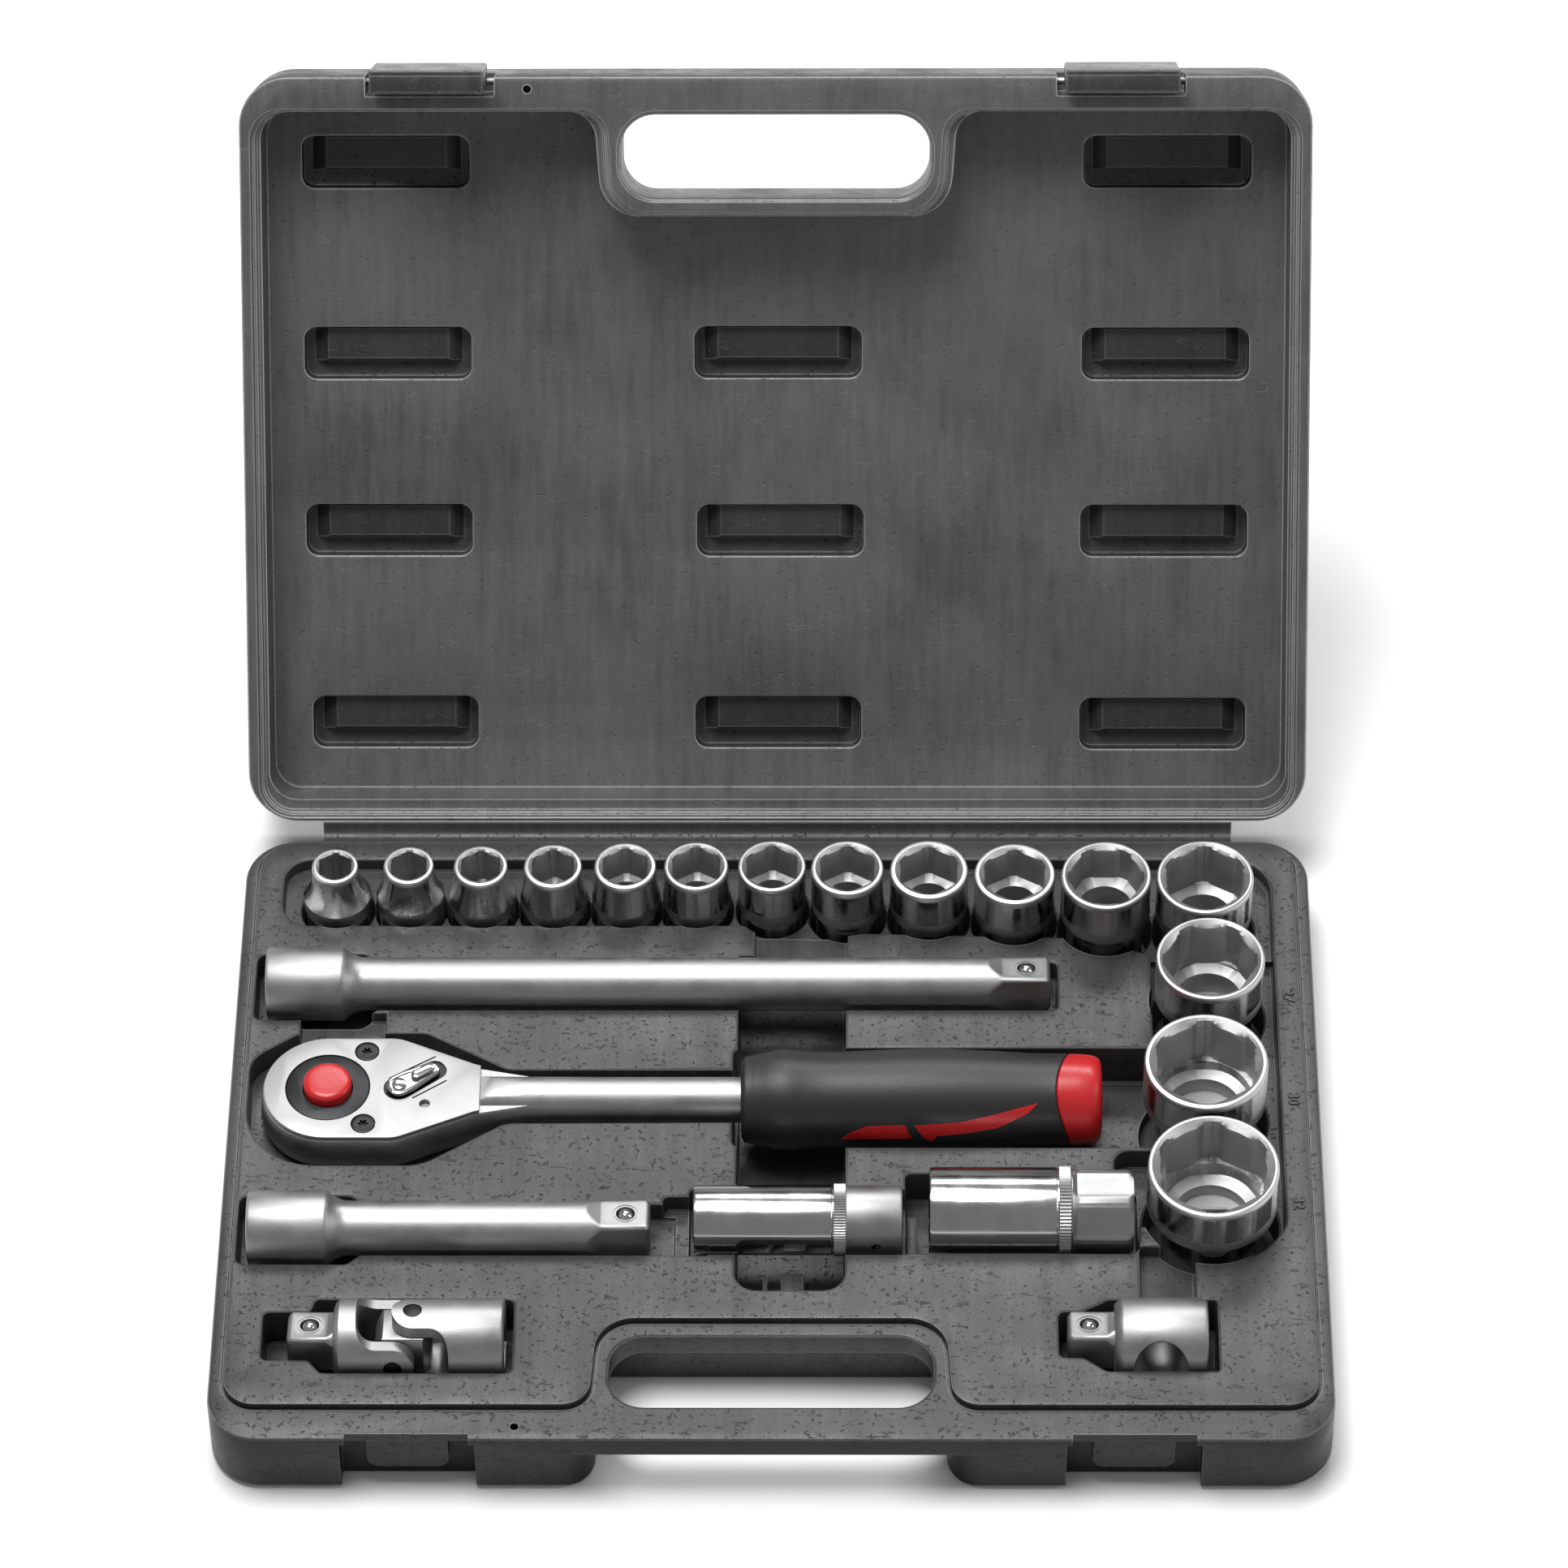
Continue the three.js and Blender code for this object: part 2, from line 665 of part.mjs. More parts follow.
function makeBar(x0, x1) {
  const body = turnedX(
    [
      [BAR_HEAD - 0.8, x0],
      [BAR_HEAD, x0 + 0.8],
      [BAR_HEAD, x0 + 24.4],
      [SHANK + 1.4, x0 + 27.4],
      [SHANK, x0 + 31],
      [SHANK, x1 - 19.5],
      [DRIVE / 2, x1 - 13.6],
    ],
    ROUND_SIDES,
  );
  const hole = squareX(DRIVE_HOLE, x0 - 1, x0 + 15);
  const bar = body.subtract(hole).add(driveSquare(x1 - 14.5, x1, x1 - 7.6));
  return bar;
}

// ---- universal joint ------------------------------------------------------------
function pinAcross(x, radius, half) {
  return rod(radius, -half, half, 12).rotate([90, 0, 0]).translate([x, 0, 0]);
}

function pinUpright(x, radius, half) {
  return rod(radius, -half, half, 12).translate([x, 0, 0]);
}

function cheek(x0, pinX, towards) {
  const tip = 6.4;
  const low = Math.min(x0, pinX);
  const high = Math.max(x0, pinX);
  const arm = block(low, high, 7.3, 14, -tip, tip);
  const end = rod(tip, 7.3, 14, 16).rotate([-90, 0, 0]).translate([pinX, 0, 0]);
  const both = arm.add(end);
  return both.add(both.mirror([0, 1, 0])).rotate([towards, 0, 0]);
}

function makeDriveYoke() {
  const limit = rodX(JOINT_R, -135, -80, ROUND_SIDES);
  const base = turnedX([[10.4, -133.2], [JOINT_R, -131.6], [JOINT_R, -126.2]], ROUND_SIDES);
  const arms = cheek(-127, JOINT_PIN_A, 0).intersect(limit);
  let yoke = union([base, arms, driveSquare(-132, -147.4, -140.6)]);
  yoke = yoke.subtract(pinAcross(JOINT_PIN_A, PIN_R + 0.25, 20));
  return yoke;
}

function makeSocketYoke() {
  const limit = rodX(JOINT_R, -135, -80, ROUND_SIDES);
  const base = turnedX([[JOINT_R, -98], [JOINT_R, -82.2], [JOINT_R - 0.9, -81.3]], ROUND_SIDES);
  const arms = cheek(-97.5, JOINT_PIN_B, 90).intersect(limit);
  let yoke = base.add(arms);
  yoke = yoke.subtract(pinUpright(JOINT_PIN_B, PIN_R + 0.25, 20));
  yoke = yoke.subtract(squareX(DRIVE_HOLE, -95, -80));
  return yoke;
}

function makeCross() {
  let cross = rodX(9.4, -119.6, -104.4, 24).intersect(block(-121, -103, -6.9, 6.9, -6.9, 6.9));
  cross = cross.subtract(pinAcross(JOINT_PIN_A, PIN_R + 0.25, 20));
  cross = cross.subtract(pinUpright(JOINT_PIN_B, PIN_R + 0.25, 20));
  return cross;
}

function makeJointPin(upright) {
  const half = JOINT_R - 0.3;
  return upright ? pinUpright(JOINT_PIN_B, PIN_R, half) : pinAcross(JOINT_PIN_A, PIN_R, half);
}

// ---- sliding adaptor ---------------------------------------------------------------
function makeSlider() {
  const body = turnedX(
    [[10.8, 104.6], [SLIDER_R, 107], [SLIDER_R, 131.8], [SLIDER_R - 0.9, 132.8]],
    ROUND_SIDES,
  );
  const slider = body.add(driveSquare(105.5, 90.2, 96.8));
  return slider.subtract(pinAcross(SLIDER_HOLE_X, 8.3, 20));
}

// ---- ratchet ---------------------------------------------------------------------------
function headPlan(inset) {
  const points = [];
  const r = HEAD_R - inset;
  for (let a = 90; a <= 270; a += 15) {
    points.push([HEAD_X + r * Math.cos(a * DEG), r * Math.sin(a * DEG), 0]);
  }
  points.push([HEAD_X + 22 - inset * 0.4, -r, 12]);
  points.push([NECK_X, -7.2 + inset, 0]);
  points.push([NECK_X, 7.2 - inset, 0]);
  points.push([HEAD_X + 22 - inset * 0.4, r, 12]);
  return rounded(points, 5);
}

function screwHole(side, radius, low, high) {
  return rod(radius, low, high, 12).translate([HEAD_X + SCREW_DX, side * SCREW_DY, 0]);
}

function makeRatchetBody() {
  const lower = prism(headPlan(1.2), HEAD_LOW, HEAD_LOW + 1.4);
  const upper = prism(headPlan(0), HEAD_LOW + 1.4, HEAD_TOP);
  const neck = turnedX([[7.2, NECK_X - 6], [7.2, GRIP_X0 + 1.5]], 16).translate([0, 0, RATCHET_Z]);
  const tang = rodX(5, GRIP_X0, 84, 12).translate([0, 0, RATCHET_Z]);
  const step = block(NECK_X - 8, NECK_X + GAP, -9, 9, HEAD_TOP, COVER_TOP + 3);
  let body = union([lower, upper, neck.subtract(step), tang]);
  body = body.subtract(rod(GEAR_BORE, HEAD_LOW + 2.6, HEAD_TOP + 3, 24).translate([HEAD_X, 0, 0]));
  body = body.subtract(rod(10.2, HEAD_LOW - 1, HEAD_LOW + 4, 24).translate([HEAD_X, 0, 0]));
  const pawlRoom = rounded(rectangleCorners(HEAD_X + 12, HEAD_X + 29, -10.4, 10.4, 3), 3);
  body = body.subtract(prism(pawlRoom, HEAD_LOW + 2.6, HEAD_TOP + 3));
  for (const side of [-1, 1]) body = body.subtract(screwHole(side, 1.45, HEAD_TOP - 9, HEAD_TOP + 3));
  return body;
}

function makeCover() {
  let cover = prism(headPlan(0.4), HEAD_TOP + GAP, COVER_TOP);
  cover = cover.subtract(rod(HUB_R + 0.45, HEAD_TOP - 1, COVER_TOP + 1, 24).translate([HEAD_X, 0, 0]));
  for (const side of [-1, 1]) {
    cover = cover.subtract(screwHole(side, 3.9, HEAD_TOP - 1, COVER_TOP + 1));
  }
  cover = cover.subtract(rod(2.6, HEAD_TOP - 1, COVER_TOP + 1, 12).translate([LEVER_X, 0, 0]));
  cover = cover.subtract(rod(1.7, HEAD_TOP - 1, COVER_TOP + 1, 12).translate([-109, -6.6, 0]));
  return cover;
}

function makeCoverScrew(side) {
  const head = screwHole(side, 3.6, HEAD_TOP + GAP, COVER_TOP);
  const shank = screwHole(side, 1.15, HEAD_TOP - 8, HEAD_TOP + 1);
  const star = prism(ring(1.7, 6, 0), COVER_TOP - 1, COVER_TOP + 1);
  const recess = star.translate([HEAD_X + SCREW_DX, side * SCREW_DY, 0]);
  return head.add(shank).subtract(recess);
}

function gearPlan() {
  const points = [];
  for (let i = 0; i < GEAR_TEETH; i++) {
    const a = (360 * i) / GEAR_TEETH;
    points.push([GEAR_R * Math.cos(a * DEG), GEAR_R * Math.sin(a * DEG)]);
    const b = a + 180 / GEAR_TEETH;
    points.push([(GEAR_R - 1) * Math.cos(b * DEG), (GEAR_R - 1) * Math.sin(b * DEG)]);
  }
  return points;
}

// Toothed wheel, its hub in the cover and the square drive below it.
function makeGear() {
  const teeth = prism(gearPlan(), HEAD_LOW + 3, HEAD_TOP - 0.2);
  const hub = rod(HUB_R, HEAD_TOP - 1, COVER_TOP - 0.2, 24);
  const neck = rod(9.8, HEAD_LOW - 0.2, HEAD_LOW + 4, 18);
  const tip = turned([[7.2, DRIVE_LOW], [8.9, DRIVE_LOW + 1.4], [8.9, HEAD_LOW]], 12);
  const square = prism(ring(DRIVE / Math.SQRT2, 4, 45), DRIVE_LOW, HEAD_LOW).intersect(tip);
  let gear = union([teeth, hub, neck, square]);
  gear = gear.subtract(rod(BUTTON_R + 0.35, HEAD_TOP - 4, COVER_TOP + 1, 18));
  gear = gear.subtract(rod(2.6, 11.5, HEAD_TOP, 12));
  const pocket = rod(BALL_HOLE, 0, 8, 12).rotate([90, 0, 0]).translate([0, 0, 9.5]);
  gear = gear.subtract(pocket.translate([0, -0.8, 0]));
  return gear.translate([HEAD_X, 0, 0]);
}

function makeButton() {
  const cap = turned(
    [[BUTTON_R, HEAD_TOP - 0.8], [BUTTON_R, COVER_TOP + 2.6], [BUTTON_R - 1.2, COVER_TOP + 3.8]],
    24,
  );
  const stem = rod(2.3, 14.5, HEAD_TOP, 12);
  return cap.add(stem).translate([HEAD_X, 0, 0]);
}

function makeRatchetBall() {
  const y = -DRIVE / 2 - BALL_OUT + BALL;
  return ball(BALL).translate([HEAD_X, y, 9.5]);
}

// Rocker with two ends, on the lever's axis beside the wheel.
function makePawl() {
  const plan = rounded(rectangleCorners(HEAD_X + 13, LEVER_X + 3.4, -7.6, 7.6, 1.5), 3);
  let pawl = prism(plan, HEAD_LOW + 3, HEAD_TOP - 0.6);
  pawl = pawl.subtract(rod(17.4, HEAD_LOW, HEAD_TOP + 2, 32).translate([HEAD_X, 0, 0]));
  pawl = pawl.subtract(rod(1.85, HEAD_LOW, HEAD_TOP + 2, 12).translate([LEVER_X, 0, 0]));
  pawl = pawl.translate([-LEVER_X, 0, 0]).rotate([0, 0, PAWL_TILT]);
  return pawl.translate([LEVER_X, 0, 0]);
}

function makeLever() {
  const axle = rod(1.5, HEAD_LOW + 3, COVER_TOP + 1, 12);
  const collar = rod(2.3, HEAD_TOP - 0.3, COVER_TOP + 1, 12);
  const plan = rounded([[-4, -4, 3.9], [3, -4, 2], [14, -2.4, 2.3], [14, 2.4, 2.3], [3, 4, 2], [-4, 4, 3.9]], 4);
  const plate = prism(plan, COVER_TOP + 0.3, COVER_TOP + 1.8);
  const grip = prism(rounded(rectangleCorners(5, 13, -1.8, 1.8, 1.6), 3), COVER_TOP + 1, COVER_TOP + 3);
  const lever = union([axle, collar, plate, grip]).rotate([0, 0, 33]);
  return lever.translate([LEVER_X, 0, 0]);
}

function makeGripCore() {
  const core = turnedX(
    [
      [11, GRIP_X0 + 3],
      [11, CAP_X + GAP],
      [14.3, CAP_X + GAP],
      [14, GRIP_X1 - 4],
      [11.4, GRIP_X1],
    ],
    ROUND_SIDES,
  );
  return core.subtract(rodX(5.3, GRIP_X0, 84.6, 12)).translate([0, 0, RATCHET_Z]);
}

function makeGripSleeve() {
  const sleeve = turnedX(
    [
      [11.6, GRIP_X0],
      [13.4, GRIP_X0 + 1.6],
      [16, GRIP_X0 + 14],
      [15.1, GRIP_X0 + 27],
      [15.9, 38],
      [16, 52],
      [14.7, 78],
      [14.4, CAP_X],
    ],
    ROUND_SIDES,
  );
  const bore = rodX(11.4, GRIP_X0 + 2.6, CAP_X + 1, ROUND_SIDES);
  const mouth = rodX(7.6, GRIP_X0 - 1, GRIP_X0 + 4, 16);
  return sleeve.subtract(bore).subtract(mouth).translate([0, 0, RATCHET_Z]);
}

// ---- materials ---------------------------------------------------------------------------
function material(color, roughness, metalness) {
  return new THREE.MeshStandardMaterial({ color, roughness, metalness });
}

const plastic = material(0x4c4d50, 0.62, 0);
const hingePlastic = material(0x46474a, 0.55, 0);
const chrome = material(0xd8dadd, 0.12, 1);
const satin = material(0xc4c6c9, 0.34, 1);
const plate = material(0xe2e3e4, 0.3, 1);
const darkSteel = material(0x4a4b4d, 0.4, 1);
const polished = material(0xe6e7e9, 0.08, 1);
const redPlastic = material(0xd03030, 0.4, 0);
const blackGrip = material(0x38393b, 0.75, 0);
const rubber = material(0x1b1b1c, 0.85, 0);

// ---- assembly ----------------------------------------------------------------------------
const assembly = new THREE.Group();
assembly.name = "socket_wrench_set";

function groupAt(x, y, z, rollDegrees) {
  const group = new THREE.Group();
  group.position.set(x, y, z);
  group.rotation.x = -rollDegrees * DEG;
  assembly.add(group);
  return group;
}

function place(parent, name, solid, look) {
  const mesh = meshFrom(solid, name, look);
  parent.add(mesh);
  return mesh;
}

place(assembly, "tray", makeTray(), plastic);
place(assembly, "living_hinge", makeWeb(), hingePlastic);

// The lid and what it carries are drawn shut, then swung open about the hinge.
const lidFrame = groupAt(0, HINGE_Y, HINGE_Z, LID_OPEN);
const onLid = [place(lidFrame, "lid", makeLid(), plastic)];
for (const [side, word] of [[-1, "left"], [1, "right"]]) {
  onLid.push(place(lidFrame, "latch_" + word, makeLatch(side), plastic));
  onLid.push(place(lidFrame, "latch_pin_" + word, makeLatchPin(side), satin));
}
for (const mesh of onLid) mesh.position.set(0, -HINGE_Y, -HINGE_Z);

for (const socket of SOCKETS) {
  const mesh = place(assembly, "socket_" + socket[0], makeSocket(socket), chrome);
  mesh.position.set(socket[1], socket[2], 0);
}

for (const [name, x0, x1, y, roll] of BARS) {
  const frame = groupAt(0, y, BAR_Z, roll);
  place(frame, name, makeBar(x0, x1), satin);
  place(frame, name + "_ball", detentBall(x1 - 7.6), polished);
}

for (const plug of PLUG_SOCKETS) {
  const frame = groupAt(0, plug[3], PLUG_Z, 0);
  place(frame, plug[0], makePlugSocket(plug), chrome);
  place(frame, plug[0] + "_rubber", makePlugRubber(plug), rubber);
}

const jointFrame = groupAt(0, JOINT_Y, JOINT_Z, JOINT_ROLL);
place(jointFrame, "joint_drive_yoke", makeDriveYoke(), satin);
place(jointFrame, "joint_socket_yoke", makeSocketYoke(), satin);
place(jointFrame, "joint_cross", makeCross(), darkSteel);
place(jointFrame, "joint_pin_across", makeJointPin(false), darkSteel);
place(jointFrame, "joint_pin_upright", makeJointPin(true), darkSteel);
place(jointFrame, "joint_ball", detentBall(-140.6), polished);

const sliderFrame = groupAt(0, SLIDER_Y, SLIDER_Z, SLIDER_ROLL);
place(sliderFrame, "slider", makeSlider(), satin);
place(sliderFrame, "slider_ball", detentBall(96.8), polished);

const ratchet = groupAt(0, RATCHET_Y, 0, 0);
place(ratchet, "ratchet_body", makeRatchetBody(), satin);
place(ratchet, "ratchet_cover", makeCover(), plate);
place(ratchet, "cover_screw_back", makeCoverScrew(1), darkSteel);
place(ratchet, "cover_screw_front", makeCoverScrew(-1), darkSteel);
place(ratchet, "ratchet_gear", makeGear(), darkSteel);
place(ratchet, "ratchet_button", makeButton(), redPlastic);
place(ratchet, "ratchet_ball", makeRatchetBall(), polished);
place(ratchet, "ratchet_pawl", makePawl(), darkSteel);
place(ratchet, "ratchet_lever", makeLever(), satin);
place(ratchet, "grip_core", makeGripCore(), redPlastic);
place(ratchet, "grip_sleeve", makeGripSleeve(), blackGrip);

export default assembly;
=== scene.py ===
"""Looks for the socket wrench set in its open case. Sizes are millimetres, turned into metres by place()."""
import math
import random

import bmesh
import bpy
from mathutils import Matrix, Vector


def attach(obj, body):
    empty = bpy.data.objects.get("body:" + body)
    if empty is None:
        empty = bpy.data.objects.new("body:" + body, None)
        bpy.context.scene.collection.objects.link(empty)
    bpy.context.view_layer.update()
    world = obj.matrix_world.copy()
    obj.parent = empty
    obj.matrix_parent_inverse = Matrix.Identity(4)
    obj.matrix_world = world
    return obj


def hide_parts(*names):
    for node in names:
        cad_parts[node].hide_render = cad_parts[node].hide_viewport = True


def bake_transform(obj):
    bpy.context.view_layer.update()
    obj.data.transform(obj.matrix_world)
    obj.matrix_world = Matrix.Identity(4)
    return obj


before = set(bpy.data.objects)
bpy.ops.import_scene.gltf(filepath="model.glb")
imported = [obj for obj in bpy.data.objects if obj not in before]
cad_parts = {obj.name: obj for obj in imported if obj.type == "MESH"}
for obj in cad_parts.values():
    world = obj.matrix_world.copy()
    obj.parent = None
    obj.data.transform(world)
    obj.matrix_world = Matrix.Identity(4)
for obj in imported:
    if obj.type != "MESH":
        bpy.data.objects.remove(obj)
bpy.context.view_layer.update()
random.seed(7)

MM = 0.001

# ---- sizes shared with the frame -----------------------------------------------
HALF_WIDTH, HALF_DEPTH, CORNER = 171, 120.5, 16
RIM, PANEL, FLOOR = 25, 27, 4.5
LEDGE, COLUMN_LEDGE = 21.5, 18
LID_LOW, LID_TOP, LID_RECESS = 25.3, 58.3, 50
LID_OPEN, HINGE_Y, HINGE_Z = 127.6, 124, 25.2
LATCH_X, LATCH_PIN_Y, LATCH_PIN_Z = 110, -118.2, 34
DRIVE, DRIVE_HOLE = 12.7, 12.95
SOCKET_FOOT = 4.8
BAR_Z, SHANK, BAR_HEAD = 27.8, 8.5, 11.75
BALL, BALL_OUT = 2.6, 1.0
HEAD_X, RATCHET_Y, RATCHET_Z = -139.6, 10.8, 26.4
HEAD_R, HEAD_LOW, HEAD_TOP, COVER_TOP = 20.6, 17.4, 30.6, 32.4
NECK_X, GRIP_X0, GRIP_X1, CAP_X = -92, -10.2, 102.6, 90.4
HUB_R, SCREW_DX, SCREW_DY, LEVER_X = 13, 11.7, 14.6, -117.1
BUTTON_R = 7.6
RECESS_BACK = -114.1
BAND_LOW = 21.7
BAND_FRONT = -118.8
TUNNEL_HALF = 53.5
LEG_ROUND = 12
HANDLE_LOW = 17
PLUG_Z = 27.5
JOINT_Y, JOINT_Z, JOINT_R, JOINT_ROLL = -83, 24.6, 12.9, 9
PIN_A, PIN_B, PIN_R = -115, -109, 2.7
SLIDER_Y, SLIDER_Z, SLIDER_R, SLIDER_ROLL = -82.3, 24.2, 13, 12

# Size, centre x, centre y, top, outside diameter, drive-end diameter, hexagon depth, corner to the back.
SOCKETS = [
    (10, -140.8, 93.9, 43, 14.9, 21.8, 15.5, True),
    (11, -117.3, 94.2, 43, 16.15, 21.8, 15.5, True),
    (12, -94.3, 93.9, 43, 17.4, 21.8, 14, True),
    (13, -71.2, 93.9, 43, 18.7, 21.8, 14, True),
    (14, -48.1, 93.9, 43, 19.95, 21.8, 12.6, True),
    (15, -25.4, 93.9, 43, 20.6, 21.8, 12.8, True),
    (16, -1.2, 93.9, 43, 21.8, 21.2, 12.6, True),
    (17, 22.9, 91.4, 45, 23.2, 21.6, 13.2, True),
    (18, 48.9, 90.6, 45, 25.0, 22.4, 13.4, True),
    (19, 76.2, 88.8, 45, 25.9, 23.0, 13.2, True),
    (22, 105.2, 85.6, 48, 28.7, 25.4, 14, False),
    (24, 136.6, 84.9, 48, 30.9, 26.6, 18, True),
    (27, 137.2, 50.9, 48, 34.3, 29.0, 18.5, False),
    (30, 134.6, 8.7, 48, 38.6, 31.0, 21.6, True),
    (32, 135.6, -33.1, 48, 40.5, 32.0, 22.8, True),
]
BARS = [
    ("extension_250", -161.2, 87.2, 57.2, 13),
    ("extension_125", -161.8, -37.6, -41.8, 7.5),
]

# ---- materials --------------------------------------------------------------------


class Look:
    """A node tree being built, with short ways to add and join nodes."""

    def __init__(self, name):
        self.material = bpy.data.materials.new(name)
        self.material.use_nodes = True
        self.nodes = self.material.node_tree.nodes
        self.links = self.material.node_tree.links
        self.shader = self.nodes["Principled BSDF"]
        self.coord = self.nodes.new("ShaderNodeTexCoord").outputs["Object"]

    def link(self, source, target):
        self.links.new(source, target)

    def noise(self, scale, detail=3, rough=0.6, stretch=None):
        node = self.nodes.new("ShaderNodeTexNoise")
        node.inputs["Scale"].default_value = scale
        node.inputs["Detail"].default_value = detail
        node.inputs["Roughness"].default_value = rough
        where = self.coord
        if stretch:
            mapping = self.nodes.new("ShaderNodeMapping")
            mapping.inputs["Scale"].default_value = stretch
            self.link(where, mapping.inputs["Vector"])
            where = mapping.outputs["Vector"]
        self.link(where, node.inputs["Vector"])
        return node.outputs["Fac"]

    def span(self, value, low, high, out_low, out_high):
        node = self.nodes.new("ShaderNodeMapRange")
        node.inputs["From Min"].default_value = low
        node.inputs["From Max"].default_value = high
        node.inputs["To Min"].default_value = out_low
        node.inputs["To Max"].default_value = out_high
        self.link(value, node.inputs["Value"])
        return node.outputs["Result"]

    def ramp(self, value, *stops):
        node = self.nodes.new("ShaderNodeValToRGB")
        ramp = node.color_ramp
        ramp.elements[0].position, ramp.elements[0].color = stops[0][0], (*stops[0][1], 1)
        ramp.elements[1].position, ramp.elements[1].color = stops[-1][0], (*stops[-1][1], 1)
        for position, color in stops[1:-1]:
            ramp.elements.new(position).color = (*color, 1)
        self.link(value, node.inputs["Fac"])
        return node.outputs["Color"]

    def rubbed(self, tone, highlight_color):
        """Lightens the tone where the surface turns sharply: a painted highlight along the moulded edges."""
        bevel = self.nodes.new("ShaderNodeBevel")
        bevel.inputs["Radius"].default_value = 0.7 * MM
        geometry = self.nodes.new("ShaderNodeNewGeometry")
        dot = self.nodes.new("ShaderNodeVectorMath")
        dot.operation = "DOT_PRODUCT"
        self.link(bevel.outputs["Normal"], dot.inputs[0])
        self.link(geometry.outputs["Normal"], dot.inputs[1])
        mix = self.nodes.new("ShaderNodeMix")
        mix.data_type = "RGBA"
        self.link(self.span(dot.outputs["Value"], 0.995, 0.93, 0, 0.8), mix.inputs["Factor"])
        self.link(tone, mix.inputs[6])
        mix.inputs[7].default_value = (*highlight_color, 1)
        return mix.outputs[2]

    def bump(self, *layers):
        """Each layer is (height, distance in mm, strength), laid one over another."""
        last = None
        for height, distance, strength in layers:
            node = self.nodes.new("ShaderNodeBump")
            node.inputs["Distance"].default_value = distance * MM
            node.inputs["Strength"].default_value = strength
            self.link(height, node.inputs["Height"])
            if last:
                self.link(last, node.inputs["Normal"])
            last = node.outputs["Normal"]
        self.link(last, self.shader.inputs["Normal"])


def case_plastic(name, base, worn, shine=0.45):
    look = Look(name)
    cloud = look.noise(16, 5, 0.65)
    streak = look.noise(34, 5, 0.75, (9, 0.5, 1))
    mixed = look.nodes.new("ShaderNodeMath")
    mixed.operation = "ADD"
    look.link(look.span(cloud, 0, 1, 0, 0.55), mixed.inputs[0])
    look.link(look.span(streak, 0, 1, 0, 0.45), mixed.inputs[1])
    fleck = look.noise(620, 3, 0.6)
    scratch = look.noise(70, 6, 0.75, (1, 0.12, 1))
    light = tuple(c * worn for c in base)
    dark = tuple(c * 0.66 for c in base)
    tone = look.ramp(mixed.outputs["Value"], (0.36, dark), (0.5, base), (0.66, light))
    # The moulded edges get a painted highlight, six times the base tone.
    look.link(look.rubbed(tone, tuple(c * 6 for c in base)), look.shader.inputs["Base Color"])
    look.link(look.span(scratch, 0.35, 0.7, 0.3, 0.5), look.shader.inputs["Roughness"])
    pits = look.span(fleck, 0.3, 0.38, 0, 1)
    grain = look.noise(2400, 2, 0.6)
    crease = look.span(look.noise(260, 6, 0.8, (0.35, 1, 1)), 0.34, 0.4, 0, 1)
    look.bump((pits, 0.22, 0.9), (grain, 0.07, 0.9), (scratch, 0.14, 0.5), (crease, 0.14, 0.6))
    look.shader.inputs["Specular IOR Level"].default_value = shine
    return look.material


def metal(name, color, rough_low, rough_high, grain_scale, grain_depth, cloud_share=0.08, stretch=None):
    look = Look(name)
    cloud = look.noise(90, 4)
    grain = look.noise(grain_scale, 3, 0.65, stretch)
    look.shader.inputs["Metallic"].default_value = 1
    darker = tuple(c * (1 - cloud_share) for c in color)
    look.link(look.ramp(cloud, (0.35, darker), (0.65, color)), look.shader.inputs["Base Color"])
    look.link(look.span(cloud, 0.3, 0.7, rough_low, rough_high), look.shader.inputs["Roughness"])
    look.bump((grain, grain_depth, 0.6))
    return look.material


def socket_chrome():
    """Chrome with vertical streaks: along them the roughness rises as a matt grain, and the base colour is lighter as a
    painted reflection between darker streaks.
    """
    look = Look("socket_chrome")
    speckle = look.noise(1500, 3, 0.7)
    streak = look.noise(150, 2, 0.5, (1, 1, 0.05))
    mixed = look.nodes.new("ShaderNodeMath")
    mixed.operation = "ADD"
    look.link(look.span(streak, 0, 1, 0, 0.8), mixed.inputs[0])
    look.link(look.span(speckle, 0, 1, 0, 0.2), mixed.inputs[1])
    matt_grain_and_reflection = mixed.outputs["Value"]
    look.shader.inputs["Metallic"].default_value = 1
    # The lighter base colour on the streaks is a painted reflection; the roughness below is the grain.
    look.link(look.ramp(matt_grain_and_reflection, (0.47, (0.4, 0.4, 0.41)), (0.6, (0.72, 0.72, 0.73))), look.shader.inputs["Base Color"])
    look.link(look.span(matt_grain_and_reflection, 0.47, 0.6, 0.12, 0.46), look.shader.inputs["Roughness"])
    look.bump((speckle, 0.05, 0.6))
    return look.material


def soft_plastic(name, color, rough, grain_scale, depth, spread=0.12):
    look = Look(name)
    cloud = look.noise(60, 3)
    grain = look.noise(grain_scale, 2, 0.6)
    dark = tuple(c * (1 - spread) for c in color)
    look.link(look.ramp(cloud, (0.3, dark), (0.7, color)), look.shader.inputs["Base Color"])
    look.link(look.span(grain, 0.3, 0.7, rough - 0.06, rough + 0.06), look.shader.inputs["Roughness"])
    look.bump((grain, depth, 0.5))
    return look.material


PLASTIC = case_plastic("case_plastic", (0.033, 0.033, 0.0345), 1.6)
# Lighter copy of the case plastic for the inside of the lid: painted light.
LIT_LID_PLASTIC = case_plastic("lid_plastic_painted_light", (0.088, 0.0885, 0.0905), 1.3)
# Darker copy of the case plastic: painted shade on the outer walls.
SHADED_SKIRT_PLASTIC = case_plastic("skirt_plastic_painted_shade", (0.012, 0.012, 0.0125), 1.4, 0.25)
